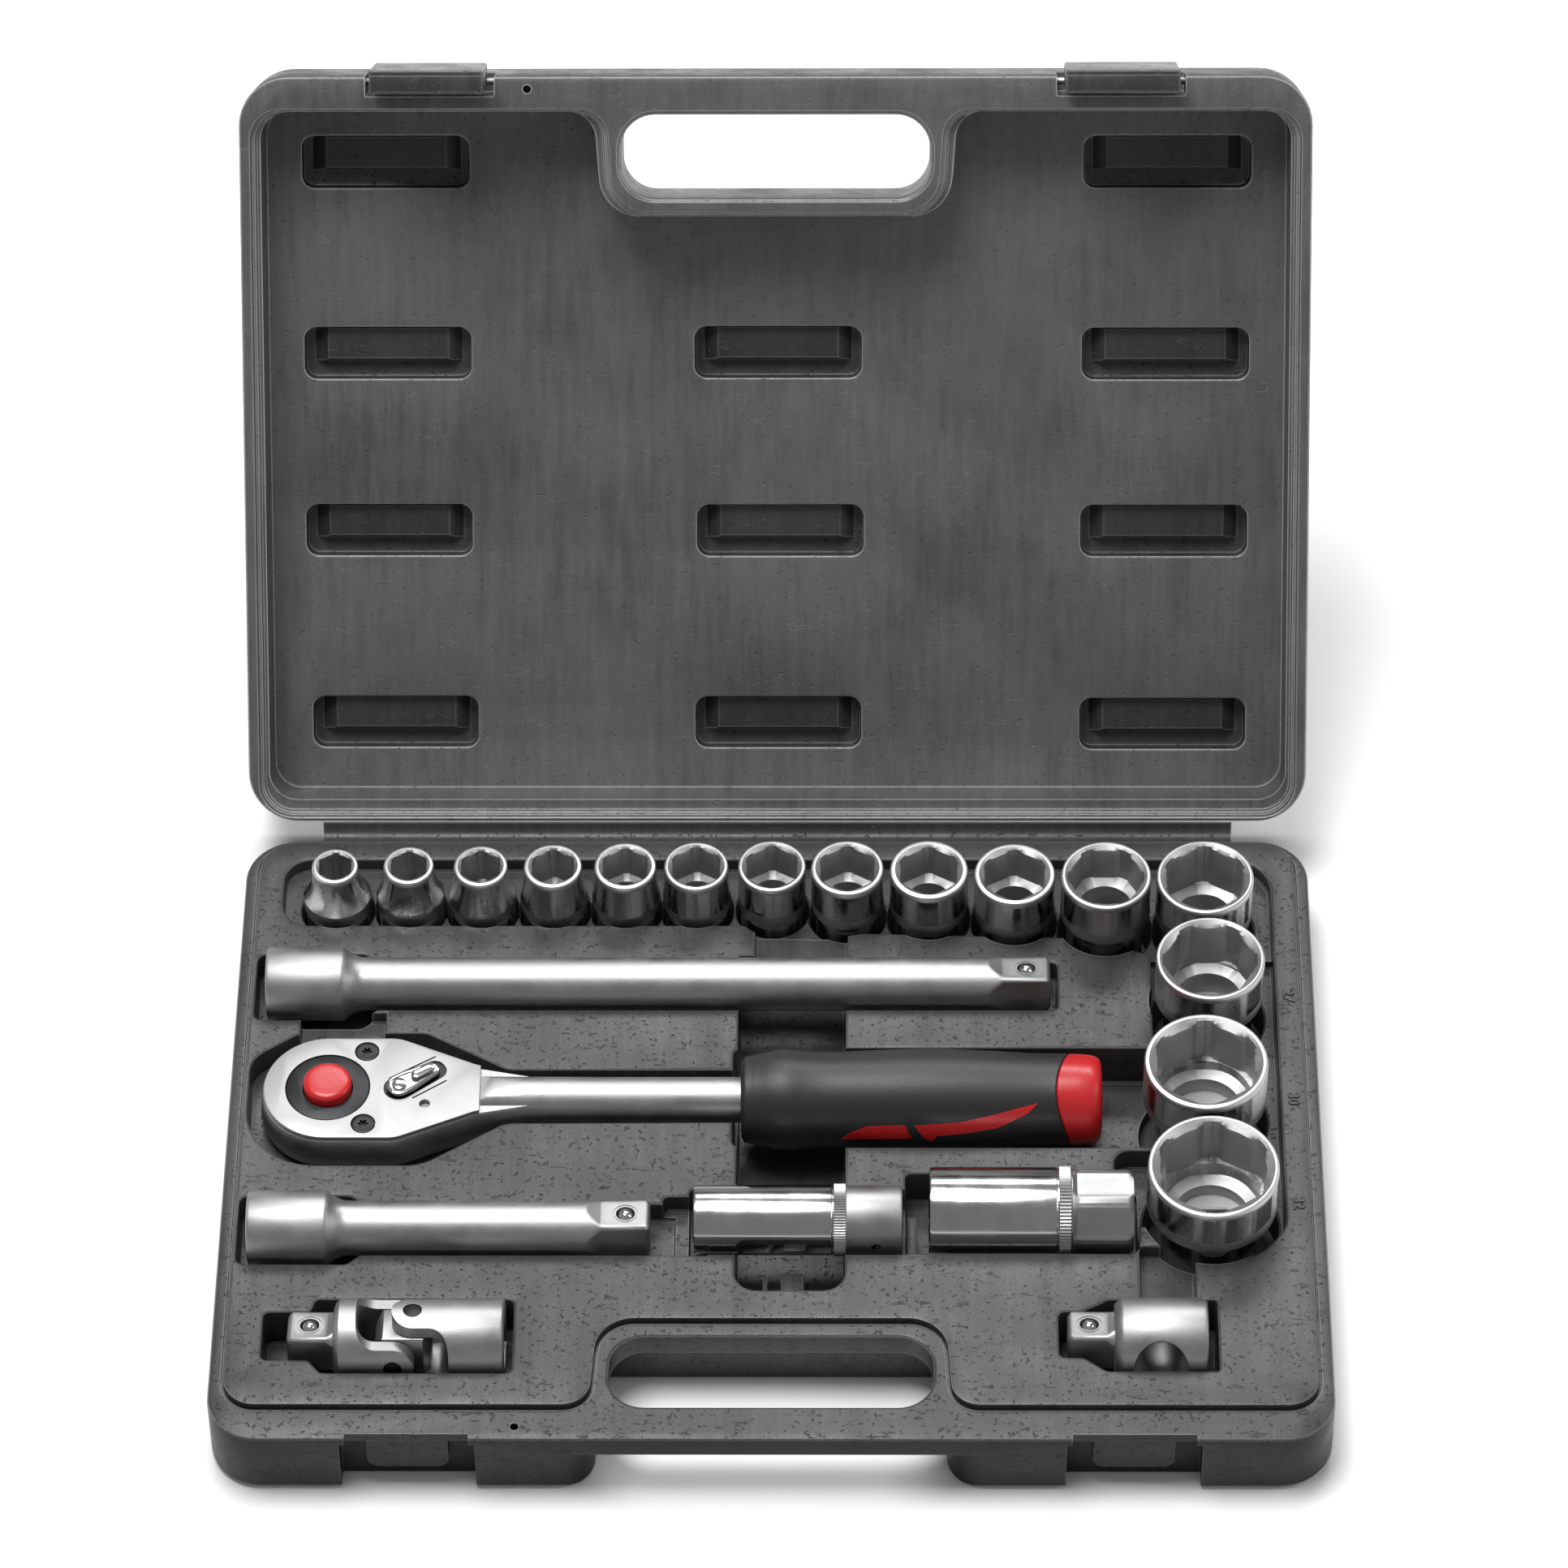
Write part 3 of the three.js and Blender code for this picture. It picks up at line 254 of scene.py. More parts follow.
# Darker copy of the case plastic: painted shade inside the lid's pockets.
POCKET_SHADE_PLASTIC = case_plastic("pocket_plastic_painted_shade", (0.026, 0.026, 0.0275), 1.5)
CHROME = metal("chrome", (0.52, 0.52, 0.53), 0.1, 0.2, 420, 0.02, 0.12)
SOCKET_CHROME = socket_chrome()
RIM_STEEL = metal("bright_rim", (0.52, 0.52, 0.525), 0.36, 0.48, 1800, 0.04, 0.06)
SATIN = metal("satin_chrome", (0.37, 0.37, 0.375), 0.38, 0.5, 2600, 0.08, 0.1)
PLATE = metal("cover_plate", (0.36, 0.36, 0.36), 0.48, 0.56, 2400, 0.04, 0.04)
DARK_STEEL = metal("dark_steel", (0.036, 0.036, 0.038), 0.36, 0.48, 1500, 0.03, 0.12)
POLISHED = metal("polished_ball", (0.62, 0.62, 0.63), 0.04, 0.09, 600, 0.004, 0.03)
BORE = metal("socket_bore", (0.50, 0.50, 0.505), 0.46, 0.58, 300, 0.06, 0.2, (1, 1, 0.15))
# Lighter, rougher copy of the bore steel for the seat at the bottom of the bore: painted light.
PAINTED_LIGHT_SEAT = metal("socket_seat_painted_light", (0.74, 0.74, 0.745), 0.8, 0.95, 300, 0.06, 0.2)
RED = soft_plastic("red_plastic", (0.50, 0.012, 0.014), 0.32, 1200, 0.02)
GRIP = soft_plastic("grip_black", (0.017, 0.017, 0.0185), 0.46, 2400, 0.06, 0.2)
RUBBER = soft_plastic("plug_rubber", (0.016, 0.016, 0.016), 0.7, 900, 0.05)
INK = soft_plastic("moulded_number", (0.016, 0.016, 0.017), 0.42, 1500, 0.02)

# ---- mesh helpers --------------------------------------------------------------------


def place(name, bm, materials, body, nodes=(), matrix=None, sharp=32):
    """Turns a millimetre bmesh into a named piece riding on a body."""
    bmesh.ops.recalc_face_normals(bm, faces=bm.faces)
    mesh = bpy.data.meshes.new(name)
    transform = Matrix.Scale(MM, 4) @ (matrix or Matrix())
    bm.transform(transform)
    bm.to_mesh(mesh)
    bm.free()
    for face in mesh.polygons:
        face.use_smooth = True
    mesh.set_sharp_from_angle(angle=math.radians(sharp))
    for material in materials if isinstance(materials, (list, tuple)) else [materials]:
        mesh.materials.append(material)
    piece = bpy.data.objects.new(name, mesh)
    bpy.context.scene.collection.objects.link(piece)
    if body:
        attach(piece, body)
    if nodes:
        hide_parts(*nodes)
    return piece


def loft(loops, closed=False, caps=(True, True), shade=None):
    """Quads between rings of equal length; shade gives a material number for each band."""
    bm = bmesh.new()
    rings = [[bm.verts.new(p) for p in loop] for loop in loops]
    count = len(rings[0])
    last = len(rings) if closed else len(rings) - 1
    for k in range(last):
        a, b = rings[k], rings[(k + 1) % len(rings)]
        for i in range(count):
            j = (i + 1) % count
            face = bm.faces.new((a[i], a[j], b[j], b[i]))
            if shade:
                face.material_index = shade(k)
    if not closed:
        if caps[0]:
            bm.faces.new(list(reversed(rings[0])))
        if caps[1]:
            bm.faces.new(rings[-1])
    return bm


def square_radius(half, corner):
    """Distance to a square's edge at an angle, its corners cut at a radius."""

    def at(angle):
        a = abs((angle + math.pi / 4) % (math.pi / 2) - math.pi / 4)
        return min(half / math.cos(a), corner)

    return at


def hex_radius(half, start):
    """Distance to a hexagon's edge, with the corners eased outwards."""

    def at(angle):
        a = (angle - start) % (math.pi / 3)
        to_corner = min(a, math.pi / 3 - a)
        flat = half / math.cos(math.pi / 6 - to_corner)
        ease = math.exp(-((to_corner / math.radians(5.5)) ** 2))
        return flat * (1 - 0.028 * ease) + half * 0.026 * math.exp(-(((to_corner - 0.13) / 0.06) ** 2))

    return at


def ring_z(radius, z, count):
    """A ring about Z; radius is a number or a function of angle."""
    points = []
    for i in range(count):
        angle = 2 * math.pi * i / count
        r = radius(angle) if callable(radius) else radius
        points.append((r * math.cos(angle), r * math.sin(angle), z))
    return points


def ring_x(radius, x, count):
    """A ring about X; the angle is measured from +Y towards +Z."""
    points = []
    for i in range(count):
        angle = 2 * math.pi * i / count
        r = radius(angle) if callable(radius) else radius
        points.append((x, r * math.cos(angle), r * math.sin(angle)))
    return points


def rounded(corners, steps=8):
    points = []
    count = len(corners)
    for i, (x, y, r) in enumerate(corners):
        here = Vector((x, y))
        if not r:
            points.append((x, y))
            continue
        before = (Vector(corners[i - 1][:2]) - here).normalized()
        after = (Vector(corners[(i + 1) % count][:2]) - here).normalized()
        half = math.acos(max(-1, min(1, before.dot(after)))) / 2
        along = r / math.tan(half)
        centre = here + (before + after).normalized() * (r / math.sin(half))
        first = here + before * along - centre
        last = here + after * along - centre
        start = math.atan2(first.y, first.x)
        sweep = math.atan2(first.x * last.y - first.y * last.x, first.dot(last))
        for k in range(steps + 1):
            a = start + sweep * k / steps
            points.append((centre.x + r * math.cos(a), centre.y + r * math.sin(a)))
    return points


def grown(corners, by):
    count = len(corners)
    out = []
    for i, (x, y, r) in enumerate(corners):
        ax, ay = corners[i - 1][:2]
        bx, by2 = corners[(i + 1) % count][:2]
        u = Vector((x - ax, y - ay)).normalized()
        v = Vector((bx - x, by2 - y)).normalized()
        turn = u.x * v.y - u.y * v.x
        total = Vector((u.y, -u.x)) + Vector((v.y, -v.x))
        scale = 2 * by / total.length_squared
        radius = max(0.3, r + by if turn > 0 else r - by) if r else 0
        out.append((x + total.x * scale, y + total.y * scale, radius))
    return out


def rectangle(x0, x1, y0, y1, r):
    return [(x0, y0, r), (x1, y0, r), (x1, y1, r), (x0, y1, r)]


def outline_loft(corners, levels, steps=8):
    """A solid from [(height, growth)] levels of one outline."""
    loops = []
    for z, by in levels:
        outline = rounded(grown(corners, by), steps)
        loops.append([(x, y, z) for x, y in outline])
    return loft(loops)


def pocket(corners, floor, top=PANEL, ease=0.9, steps=8):
    """A cutter whose mouth is eased, so the edge of what it cuts is rounded."""
    levels = [
        (floor, -0.6),
        (floor + 0.6, 0),
        (top - ease, 0),
        (top - ease * 0.45, ease * 0.16),
        (top - ease * 0.1, ease * 0.62),
        (top + 0.02, ease * 1.1),
        (top + 8, ease * 1.1),
    ]
    return outline_loft(corners, levels, steps)


def round_pocket(radius, floor, top, x, y, count=72):
    loops = [
        ring_z(radius - 1, floor, count),
        ring_z(radius - 0.3, floor + 0.3, count),
        ring_z(radius, floor + 1, count),
        ring_z(radius, top - 0.8, count),
        ring_z(radius + 0.15, top - 0.4, count),
        ring_z(radius + 0.8, top + 0.02, count),
        ring_z(radius + 0.8, top + 12, count),
    ]
    bm = loft(loops)
    bm.transform(Matrix.Translation((x, y, 0)))
    return bm


def box(x0, x1, y0, y1, z0, z1, chamfer=0):
    bm = outline_loft(rectangle(x0, x1, y0, y1, 0), [(z0, 0), (z1, 0)])
    if chamfer:
        bmesh.ops.bevel(bm, geom=bm.edges[:], offset=chamfer, segments=2, affect="EDGES", profile=0.5)
    return bm


def scratch_object(bm, name="scratch"):
    bmesh.ops.recalc_face_normals(bm, faces=bm.faces)
    bmesh.ops.triangulate(bm, faces=[f for f in bm.faces if len(f.verts) > 4])
    mesh = bpy.data.meshes.new(name)
    bm.to_mesh(mesh)
    bm.free()
    made = bpy.data.objects.new(name, mesh)
    bpy.context.scene.collection.objects.link(made)
    return made


def combine(base, others, operation):
    """Joins or cuts bmeshes with Blender's manifold solver and returns a bmesh."""
    target = scratch_object(base)
    tools = [scratch_object(other) for other in others]
    for tool in tools:
        step = target.modifiers.new("step", "BOOLEAN")
        step.operation = operation
        step.solver = "MANIFOLD"
        step.object = tool
    evaluated = target.evaluated_get(bpy.context.evaluated_depsgraph_get())
    result = bmesh.new()
    result.from_mesh(evaluated.to_mesh())
    evaluated.to_mesh_clear()
    for item in [target, *tools]:
        mesh = item.data
        bpy.data.objects.remove(item)
        bpy.data.meshes.remove(mesh)
    bmesh.ops.remove_doubles(result, verts=result.verts, dist=1e-4)
    return result


def cut(base, *others):
    return combine(base, others, "DIFFERENCE")


def join(base, *others):
    return combine(base, others, "UNION")


def keep(base, *others):
    return combine(base, others, "INTERSECT")


def moved(bm, x=0, y=0, z=0):
    bm.transform(Matrix.Translation((x, y, z)))
    return bm


def turned(bm, axis, degrees):
    bm.transform(Matrix.Rotation(math.radians(degrees), 4, axis))
    return bm


def rod(radius, z0, z1, count=48, ease=0):
    if not ease:
        return loft([ring_z(radius, z0, count), ring_z(radius, z1, count)])
    loops = [
        ring_z(radius - ease, z0, count),
        ring_z(radius - ease * 0.3, z0 + ease * 0.3, count),
        ring_z(radius, z0 + ease, count),
        ring_z(radius, z1 - ease, count),
        ring_z(radius - ease * 0.3, z1 - ease * 0.3, count),
        ring_z(radius - ease, z1, count),
    ]
    return loft(loops)


def rod_x(radius, x0, x1, count=48):
    return loft([ring_x(radius, x0, count), ring_x(radius, x1, count)])


def rod_y(radius, y0, y1, x=0, z=0, count=48):
    return moved(turned(rod(radius, -y1, -y0, count), "X", 90), x, 0, z)


def lathe_z(profile, count=96):
    return loft([ring_z(r, z, count) for r, z in profile])


def ball(radius, x, y, z):
    bm = bmesh.new()
    bmesh.ops.create_uvsphere(bm, u_segments=32, v_segments=20, radius=radius)
    return moved(bm, x, y, z)


def rolled(y, z, degrees):
    return Matrix.Translation((0, y, z)) @ Matrix.Rotation(math.radians(-degrees), 4, "X")


# ---- case --------------------------------------------------------------------------------
CASE = rectangle(-HALF_WIDTH, HALF_WIDTH, -HALF_DEPTH, HALF_DEPTH, CORNER)
PANEL_OUTLINE = [
    (-166.4, -109, 10), (-55, -109, 9), (-53, -76, 12), (53, -76, 12),
    (55, -109, 9), (166.4, -109, 10), (166.4, 118, 11), (-166.4, 118, 11),
]
HANDLE = rectangle(-49.3, 49.3, -108.2, -81.6, 11)


def tray_pockets():
    """Every recess the panel has, as cutters."""
    back_row = [
        (-158.3, 82.8, 9), (-10, 82.8, 3), (-7, 80, 2), (24, 79.5, 2), (100, 77.5, 4),
        (120.5, 70, 4), (158.6, 70, 0), (158.6, 110.6, 13), (-158.3, 110.6, 9),
    ]
    column = [
        (119.4, -20, 0), (119.4, -45, 8), (131, -52, 6), (150, -52, 12),
        (158.6, -40, 12), (158.6, 72, 0), (119.4, 72, 0),
    ]
    long_head = [
        (-165, 43.2, 3), (-131, 43.2, 3), (-126, 47.4, 0), (-126, 67, 0), (-131, 70.4, 3), (-165, 70.4, 3),
    ]
    ratchet_head = [
        (-165, 10.8, 0), (-165, -15.8, 22), (-110, -15.8, 16), (-84, 1.2, 8), (-11.5, 1.6, 0),
        (-11.5, 22.6, 0), (-84, 22.6, 8), (-110, 37.6, 8), (-150, 37.6, 6), (-165, 27, 10),
    ]
    grip = [(-13, -8.6, 3), (108, -8.6, 4), (121, -8.6, 0), (121, 31.6, 0), (-13, 31.6, 3)]
    short_head = [
        (-165.2, -55, 3), (-131, -55, 3), (-127, -51.4, 0), (-127, -31, 0), (-131, -28.2, 3), (-165.2, -28.2, 3),
    ]
    joint = [
        (-155.4, -92, 2), (-141, -92, 2), (-137, -96.9, 2), (-78.8, -96.9, 2),
        (-78.8, -68.9, 2), (-139.6, -68.9, 2), (-141, -73.8, 2), (-155.4, -73.8, 2),
    ]
    slider = [
        (87.6, -90.8, 2), (95, -90.8, 3), (102, -96, 3), (136.2, -96, 1),
        (136.2, -68.8, 1), (103, -68.8, 3), (95, -73.4, 3), (87.6, -73.4, 2),
    ]
    head_floor = BAR_Z - BAR_HEAD - 0.2
    shank_floor = BAR_Z - 9.2
    cutters = [
        pocket(back_row, LEDGE),
        pocket(column, COLUMN_LEDGE),
        pocket(long_head, head_floor),
        pocket([(-130, 47.4, 0), (89.6, 47.4, 2), (89.6, 67, 2), (-130, 67, 0)], shank_floor),
        pocket(ratchet_head, HEAD_LOW - 0.3),
        pocket(rectangle(-150, -123, 35, 46, 0), 22),
        pocket(rectangle(HEAD_X - 11, HEAD_X + 11, -0.2, 21.8, 5), 2.8, 20),
        pocket(grip, 9.8),
        pocket(short_head, head_floor),
        pocket(rectangle(-130, -30, -51.4, -31.5, 0), shank_floor),
        pocket([(-34, -51.4, 0), (-20, -51.4, 0), (-20, -28.5, 2), (-34, -28.5, 2)], 20),
        pocket(rectangle(-26, 42.4, -51, -25.4, 2), 16.2),
        pocket([(41, -50.6, 0), (113, -50.6, 3), (113, -19.2, 3), (41, -19.2, 2)], 13.2),
        pocket([(106, -40, 0), (124, -40, 0), (124, -10, 0), (106, -10, 5)], 18),
        pocket([(-11.6, -65, 7), (22.4, -65, 7), (22.4, 70, 0), (-11.6, 70, 0)], 6),
        pocket(rectangle(-6.6, 23, 60, 84, 0), 23.4),
        pocket(joint, JOINT_Z - JOINT_R - 0.3),
        pocket(slider, SLIDER_Z - SLIDER_R - 0.3),
        pocket(rectangle(113, 130, -72, -48, 0), 21),
    ]
    for _, x, y, _, outside, drive, _, _ in SOCKETS:
        radius = max(outside, drive) / 2 + 0.9
        top = COLUMN_LEDGE if y < 60 else LEDGE
        cutters.append(round_pocket(radius, FLOOR, top, x, y))
    return cutters


def shell_levels(low, high, foot):
    """Rounded rim at the high end and a chamfered foot at the low end."""
    return [
        (low, -foot), (low + foot * 0.3, -foot * 0.3), (low + foot, 0),
        (high - 1.2, 0), (high - 0.35, -0.35), (high, -1.2),
    ]


def handle_way():
    """Way through under the handle, flared where the legs' front corners are rounded."""
    centre = TUNNEL_HALF + LEG_ROUND
    right = [(centre, -HALF_DEPTH - 2, 0)]
    for k in range(13):
        angle = (1.5 - k / 24) * math.pi
        across = centre + LEG_ROUND * math.cos(angle)
        right.append((across, -HALF_DEPTH + LEG_ROUND + LEG_ROUND * math.sin(angle), 0))
    right.append((TUNNEL_HALF, -78, 0))
    left = [(-x, y, 0) for x, y, _ in reversed(right)]
    return outline_loft(right + left, [(-2, 0), (HANDLE_LOW, 0)], 1)


def build_tray():
    body = outline_loft(CASE, shell_levels(0, RIM, 2.5), 14)
    panel = outline_loft(PANEL_OUTLINE, [(RIM - 4, 0), (PANEL - 0.7, 0), (PANEL - 0.2, -0.22), (PANEL, -0.8)], 12)
    groove_out = outline_loft(grown(PANEL_OUTLINE, 0.9), [(RIM - 0.9, -0.2), (RIM + 3, 0.5)], 12)
    groove_in = outline_loft(PANEL_OUTLINE, [(RIM - 3, 0), (RIM + 5, 0)], 12)
    ring = cut(groove_out, groove_in)
    body = cut(body, ring)
    body = join(body, panel)
    cutters = tray_pockets()
    cutters.append(pocket(HANDLE, -3, RIM, 1.2, 10))
    cutters.append(handle_way())
    for side in (-1, 1):
        x = side * LATCH_X
        cutters.append(box(x - 20.5, x + 20.5, -HALF_DEPTH - 1, RECESS_BACK, -2, BAND_LOW, 0.5))
        cutters.append(box(x - 18.8, x + 18.8, -HALF_DEPTH - 1, BAND_FRONT, 20, RIM + 3, 0.4))
    cutters.append(moved(rod(1.3, RIM - 6, RIM + 3, 24), -77.4, -116))
    body = cut(body, *cutters)
    extras = [
        box(-3, -1.6, -65.2, -51.2, 4, 16, 0.3),
        box(2.5, 9.8, -65.2, -51.2, 4, 18, 0.8),
        box(41.5, 44.6, -50.8, -33, 11, 22.5, 0.6),
    ]
    for side in (-1, 1):
        x = side * LATCH_X
        face = [(x - 12.5, 8.3, 4), (x + 12.5, 8.3, 4), (x + 12.5, BAND_LOW + 1, 0), (x - 12.5, BAND_LOW + 1, 0)]
        pad = outline_loft(face, [(0, 0), (4.4, 0), (4.75, -0.15), (4.9, -0.5)], 8)
        extras.append(moved(turned(pad, "X", 90), 0, RECESS_BACK + 0.4))
    body = join(body, *extras)
    body.normal_update()
    # Outer front and side walls below the rim take the darker plastic, as painted shade.
    for face in body.faces:
        middle = face.calc_center_median()
        outside = middle.y < -112 or abs(middle.x) > HALF_WIDTH - 5
        if outside and middle.z < RIM - 1.6 and abs(face.normal.z) < 0.4:
            face.material_index = 1
    return place("tray_moulding", body, [PLASTIC, SHADED_SKIRT_PLASTIC], "case", ["tray"], sharp=28)


LID_REBATE = [
    (-167.4, -110, 10), (-54, -110, 9), (-52, -77, 12), (52, -77, 12),
    (54, -110, 9), (167.4, -110, 10), (167.4, 119, 11), (-167.4, 119, 11),
]
LID_INNER = [
    (-164.4, -109, 9), (-58, -109, 9), (-55.5, -75.4, 13), (55.5, -75.4, 13),
    (58, -109, 9), (164.4, -109, 9), (164.4, 114, 9), (-164.4, 114, 9),
]
LID_POCKETS = [
    (-125.8, 211.5), (125.8, 211.3),
    (-125.8, 149.6), (0.4, 149.8), (125.6, 149.2),
    (-126, 91.8), (1, 91.6), (125.4, 91.4),
    (-124.6, 28.6), (0.2, 28.4), (125.4, 27.8),
]

LID_SWING = (
    Matrix.Translation((0, HINGE_Y, HINGE_Z))
    @ Matrix.Rotation(math.radians(-LID_OPEN), 4, "X")
    @ Matrix.Translation((0, -HINGE_Y, -HINGE_Z))
)


def up_pocket(corners, mouth, floor, ease, steps=8):
    """A cutter that opens downwards, for the lid as it lies when shut."""
    levels = [
        (mouth - 6, ease * 1.1), (mouth - 0.02, ease * 1.1), (mouth + ease * 0.1, ease * 0.62),
        (mouth + ease * 0.45, ease * 0.16), (mouth + ease, 0), (floor - 1.2, 0),
        (floor - 0.35, -0.35), (floor, -1.2),
    ]
    return outline_loft(corners, levels, steps)


def pocket_ledge(x, y):
    """The raised tack inside a lid pocket: a flat-topped ridge with sloping ends."""
    loops = []
    for z, half, front, back in ((57.2, 25.5, 8.6, 3.2), (53.4, 20.5, 8.3, 2.6), (52.7, 19.4, 7.8, 2.0)):
        loops.append([(x - half, y - front, z), (x + half, y - front, z), (x + half, y + back, z), (x - half, y + back, z)])
    return loft(loops)


def from_edge(point):
    """How far inside the case's outline a point lies."""
    across = max(abs(point.x) - HALF_WIDTH + CORNER, 0)
    along = max(abs(point.y) - HALF_DEPTH + CORNER, 0)
    return CORNER - math.hypot(across, along)


def build_lid():
    levels = [
        (LID_LOW, -1.2), (LID_LOW + 0.35, -0.35), (LID_LOW + 1.2, 0),
        (LID_TOP - 2.5, 0), (LID_TOP - 1.25, -1.25), (LID_TOP, -2.5),
    ]
    body = outline_loft(CASE, levels, 14)
    cutters = [
        up_pocket(LID_REBATE, LID_LOW, LID_LOW + 2.6, 0.6, 12),
        up_pocket(grown(LID_REBATE, -1.4), LID_LOW + 2.6, LID_LOW + 4.6, 0.4, 12),
        up_pocket(LID_INNER, LID_LOW + 2.6, LID_RECESS, 0.8, 12),
    ]
    for x, s in LID_POCKETS:
        y = HALF_DEPTH - s
        cutters.append(up_pocket(rectangle(x - 27, x + 27, y - 8.4, y + 8.4, 4), LID_RECESS, LID_RECESS + 6, 0.7))
    for side in (-1, 1):
        x = side * LATCH_X
        cutters.append(box(x - 20.5, x + 20.5, -HALF_DEPTH - 1, -114.2, LID_LOW - 1, 41.5, 0.5))
    cutters.append(moved(rod(1.3, LID_LOW - 3, LID_LOW + 6, 24), -79, -116.5))
    handle = [(LID_LOW - 3, 1.3), (LID_LOW, 1.3), (LID_LOW + 0.5, 0.4), (LID_LOW + 1.3, 0), (LID_TOP + 3, 0)]
    cutters.append(outline_loft(HANDLE, handle, 10))
    body = cut(body, *cutters)
    ledges = [pocket_ledge(x, HALF_DEPTH - s) for x, s in LID_POCKETS]
    body = join(body, *ledges)
    # The lid's outer walls take the darker plastic, as painted shade.
    for face in body.faces:
        middle = face.calc_center_median()
        if middle.z > LID_TOP - 0.3:
            face.material_index = 2
        elif middle.z > LID_LOW + 1.3 and from_edge(middle) < (2.6 if middle.z > LID_TOP - 2.5 else 1):
            face.material_index = 3
        # Pocket walls and floors take the darker plastic, as painted shade.
        if middle.z < LID_RECESS + 0.9 or middle.z > LID_RECESS + 6.3:
            continue
        for x, s in LID_POCKETS:
            if abs(middle.x - x) < 27.5 and abs(middle.y - HALF_DEPTH + s) < 9:
                face.material_index = 1
    # The lid's inside keeps the lighter plastic as painted light; its outside top takes the tray's plastic.
    looks = [LIT_LID_PLASTIC, POCKET_SHADE_PLASTIC, PLASTIC, SHADED_SKIRT_PLASTIC]
    return place("lid_moulding", body, looks, "lid", ["lid"], LID_SWING, 28)


def build_web():
    """The living hinge: a thin web that bends from the tray's rim to the lid's."""
    upper = [(120.2, 24.7), (121, 24.3), (122, 23.9), (123, 23.9), (124, 24.2), (125, 25), (125.7, 26), (126.3, 27.2)]
    lower = [(120.2, 23.5), (121, 23.1), (122.1, 22.8), (123.2, 22.8), (124.4, 23.2), (125.6, 24.2), (126.5, 25.4), (127.1, 26.6)]
    section = upper + list(reversed(lower))
    bm = bmesh.new()
    stations = [-147 + 294 * i / 60 for i in range(61)]
    rings = [[bm.verts.new((x, y, z)) for y, z in section] for x in stations]
    for a, b in zip(rings, rings[1:]):
        for i in range(len(section)):
            j = (i + 1) % len(section)
            bm.faces.new((a[i], a[j], b[j], b[i]))
    bm.faces.new(rings[0])
    bm.faces.new(list(reversed(rings[-1])))
    piece = place("hinge_web", bm, PLASTIC, None, ["living_hinge"], sharp=60)
    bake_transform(piece)
    return piece


def build_latch(side, word):
    x = side * LATCH_X
    left, right = x - 18, x + 18
    levels = [(5.4, -0.5), (5.9, 0), (34.2, 0), (34.8, -0.3), (35, -0.7)]
    plate = outline_loft(rectangle(left, right, -124.2, -122, 0.8), levels, 4)
    parts = [
        box(left + 0.3, right - 0.3, -122.6, -117.1, 5.4, 8, 0.5),
        box(left, left + 2.2, -123, -116.6, 5.6, 35, 0.4),
        box(right - 2.2, right, -123, -116.6, 5.6, 35, 0.4),
        box(left + 0.3, right - 0.3, -123, -116.4, 31.8, 35, 0.6),
        box(x - 11, x - 9.6, -122.6, -119.4, 7, 33, 0.3),
        box(x + 9.6, x + 11, -122.6, -119.4, 7, 33, 0.3),
        box(left + 2, right - 2, -122.6, -120.6, 14, 15.2, 0.3),
        box(left + 2, right - 2, -122.6, -120.6, 24, 25.2, 0.3),
    ]
    latch = join(plate, *parts)
    latch = cut(latch, box(left - 1, right + 1, BAND_FRONT - 0.3, -115, BAND_LOW - 0.5, RIM + 0.8, 0.2))
    hole = turned(rod(1.5, -22, 22, 24), "Y", 90)
    latch = cut(latch, moved(hole, x, LATCH_PIN_Y, LATCH_PIN_Z))
    node = "latch_" + word
    place(node + "_moulding", latch, PLASTIC, node, [node], LID_SWING)
    pin = moved(turned(rod(1.2, -22.4, 22.4, 24, 0.25), "Y", 90), x, LATCH_PIN_Y, LATCH_PIN_Z)
    place("latch_pin_" + word + "_rod", pin, SATIN, "lid", ["latch_pin_" + word], LID_SWING)


def number(text, x, y, height, size, turn_degrees):
    """A raised moulded size number."""
    curve = bpy.data.curves.new("number_" + text, "FONT")
    curve.body = text
    curve.size = size * MM
    curve.extrude = 0.18 * MM
    curve.bevel_depth = 0.2 * MM
    curve.align_x = "CENTER"
    curve.align_y = "CENTER"
    holder = bpy.data.objects.new("number_" + text, curve)
    bpy.context.scene.collection.objects.link(holder)
    evaluated = holder.evaluated_get(bpy.context.evaluated_depsgraph_get())
    mesh = bpy.data.meshes.new_from_object(evaluated)
    bpy.data.objects.remove(holder)
    mesh.transform(
        Matrix.Translation((x * MM, y * MM, (height + 0.02) * MM)) @ Matrix.Rotation(math.radians(turn_degrees), 4, "Z")
    )
    mesh.materials.clear()
    mesh.materials.append(INK)
    piece = bpy.data.objects.new("size_number_" + text, mesh)
    bpy.context.scene.collection.objects.link(piece)
    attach(piece, "case")


# ---- sockets ------------------------------------------------------------------------------
RIBS = 160


def knurl(radius, depth=0.2):
    """Alternate points of a ring stand in and out."""

    def at(angle):
        step = round(angle * RIBS / (2 * math.pi))
        return radius + (depth if step % 2 else -depth) * 0.5

    return at


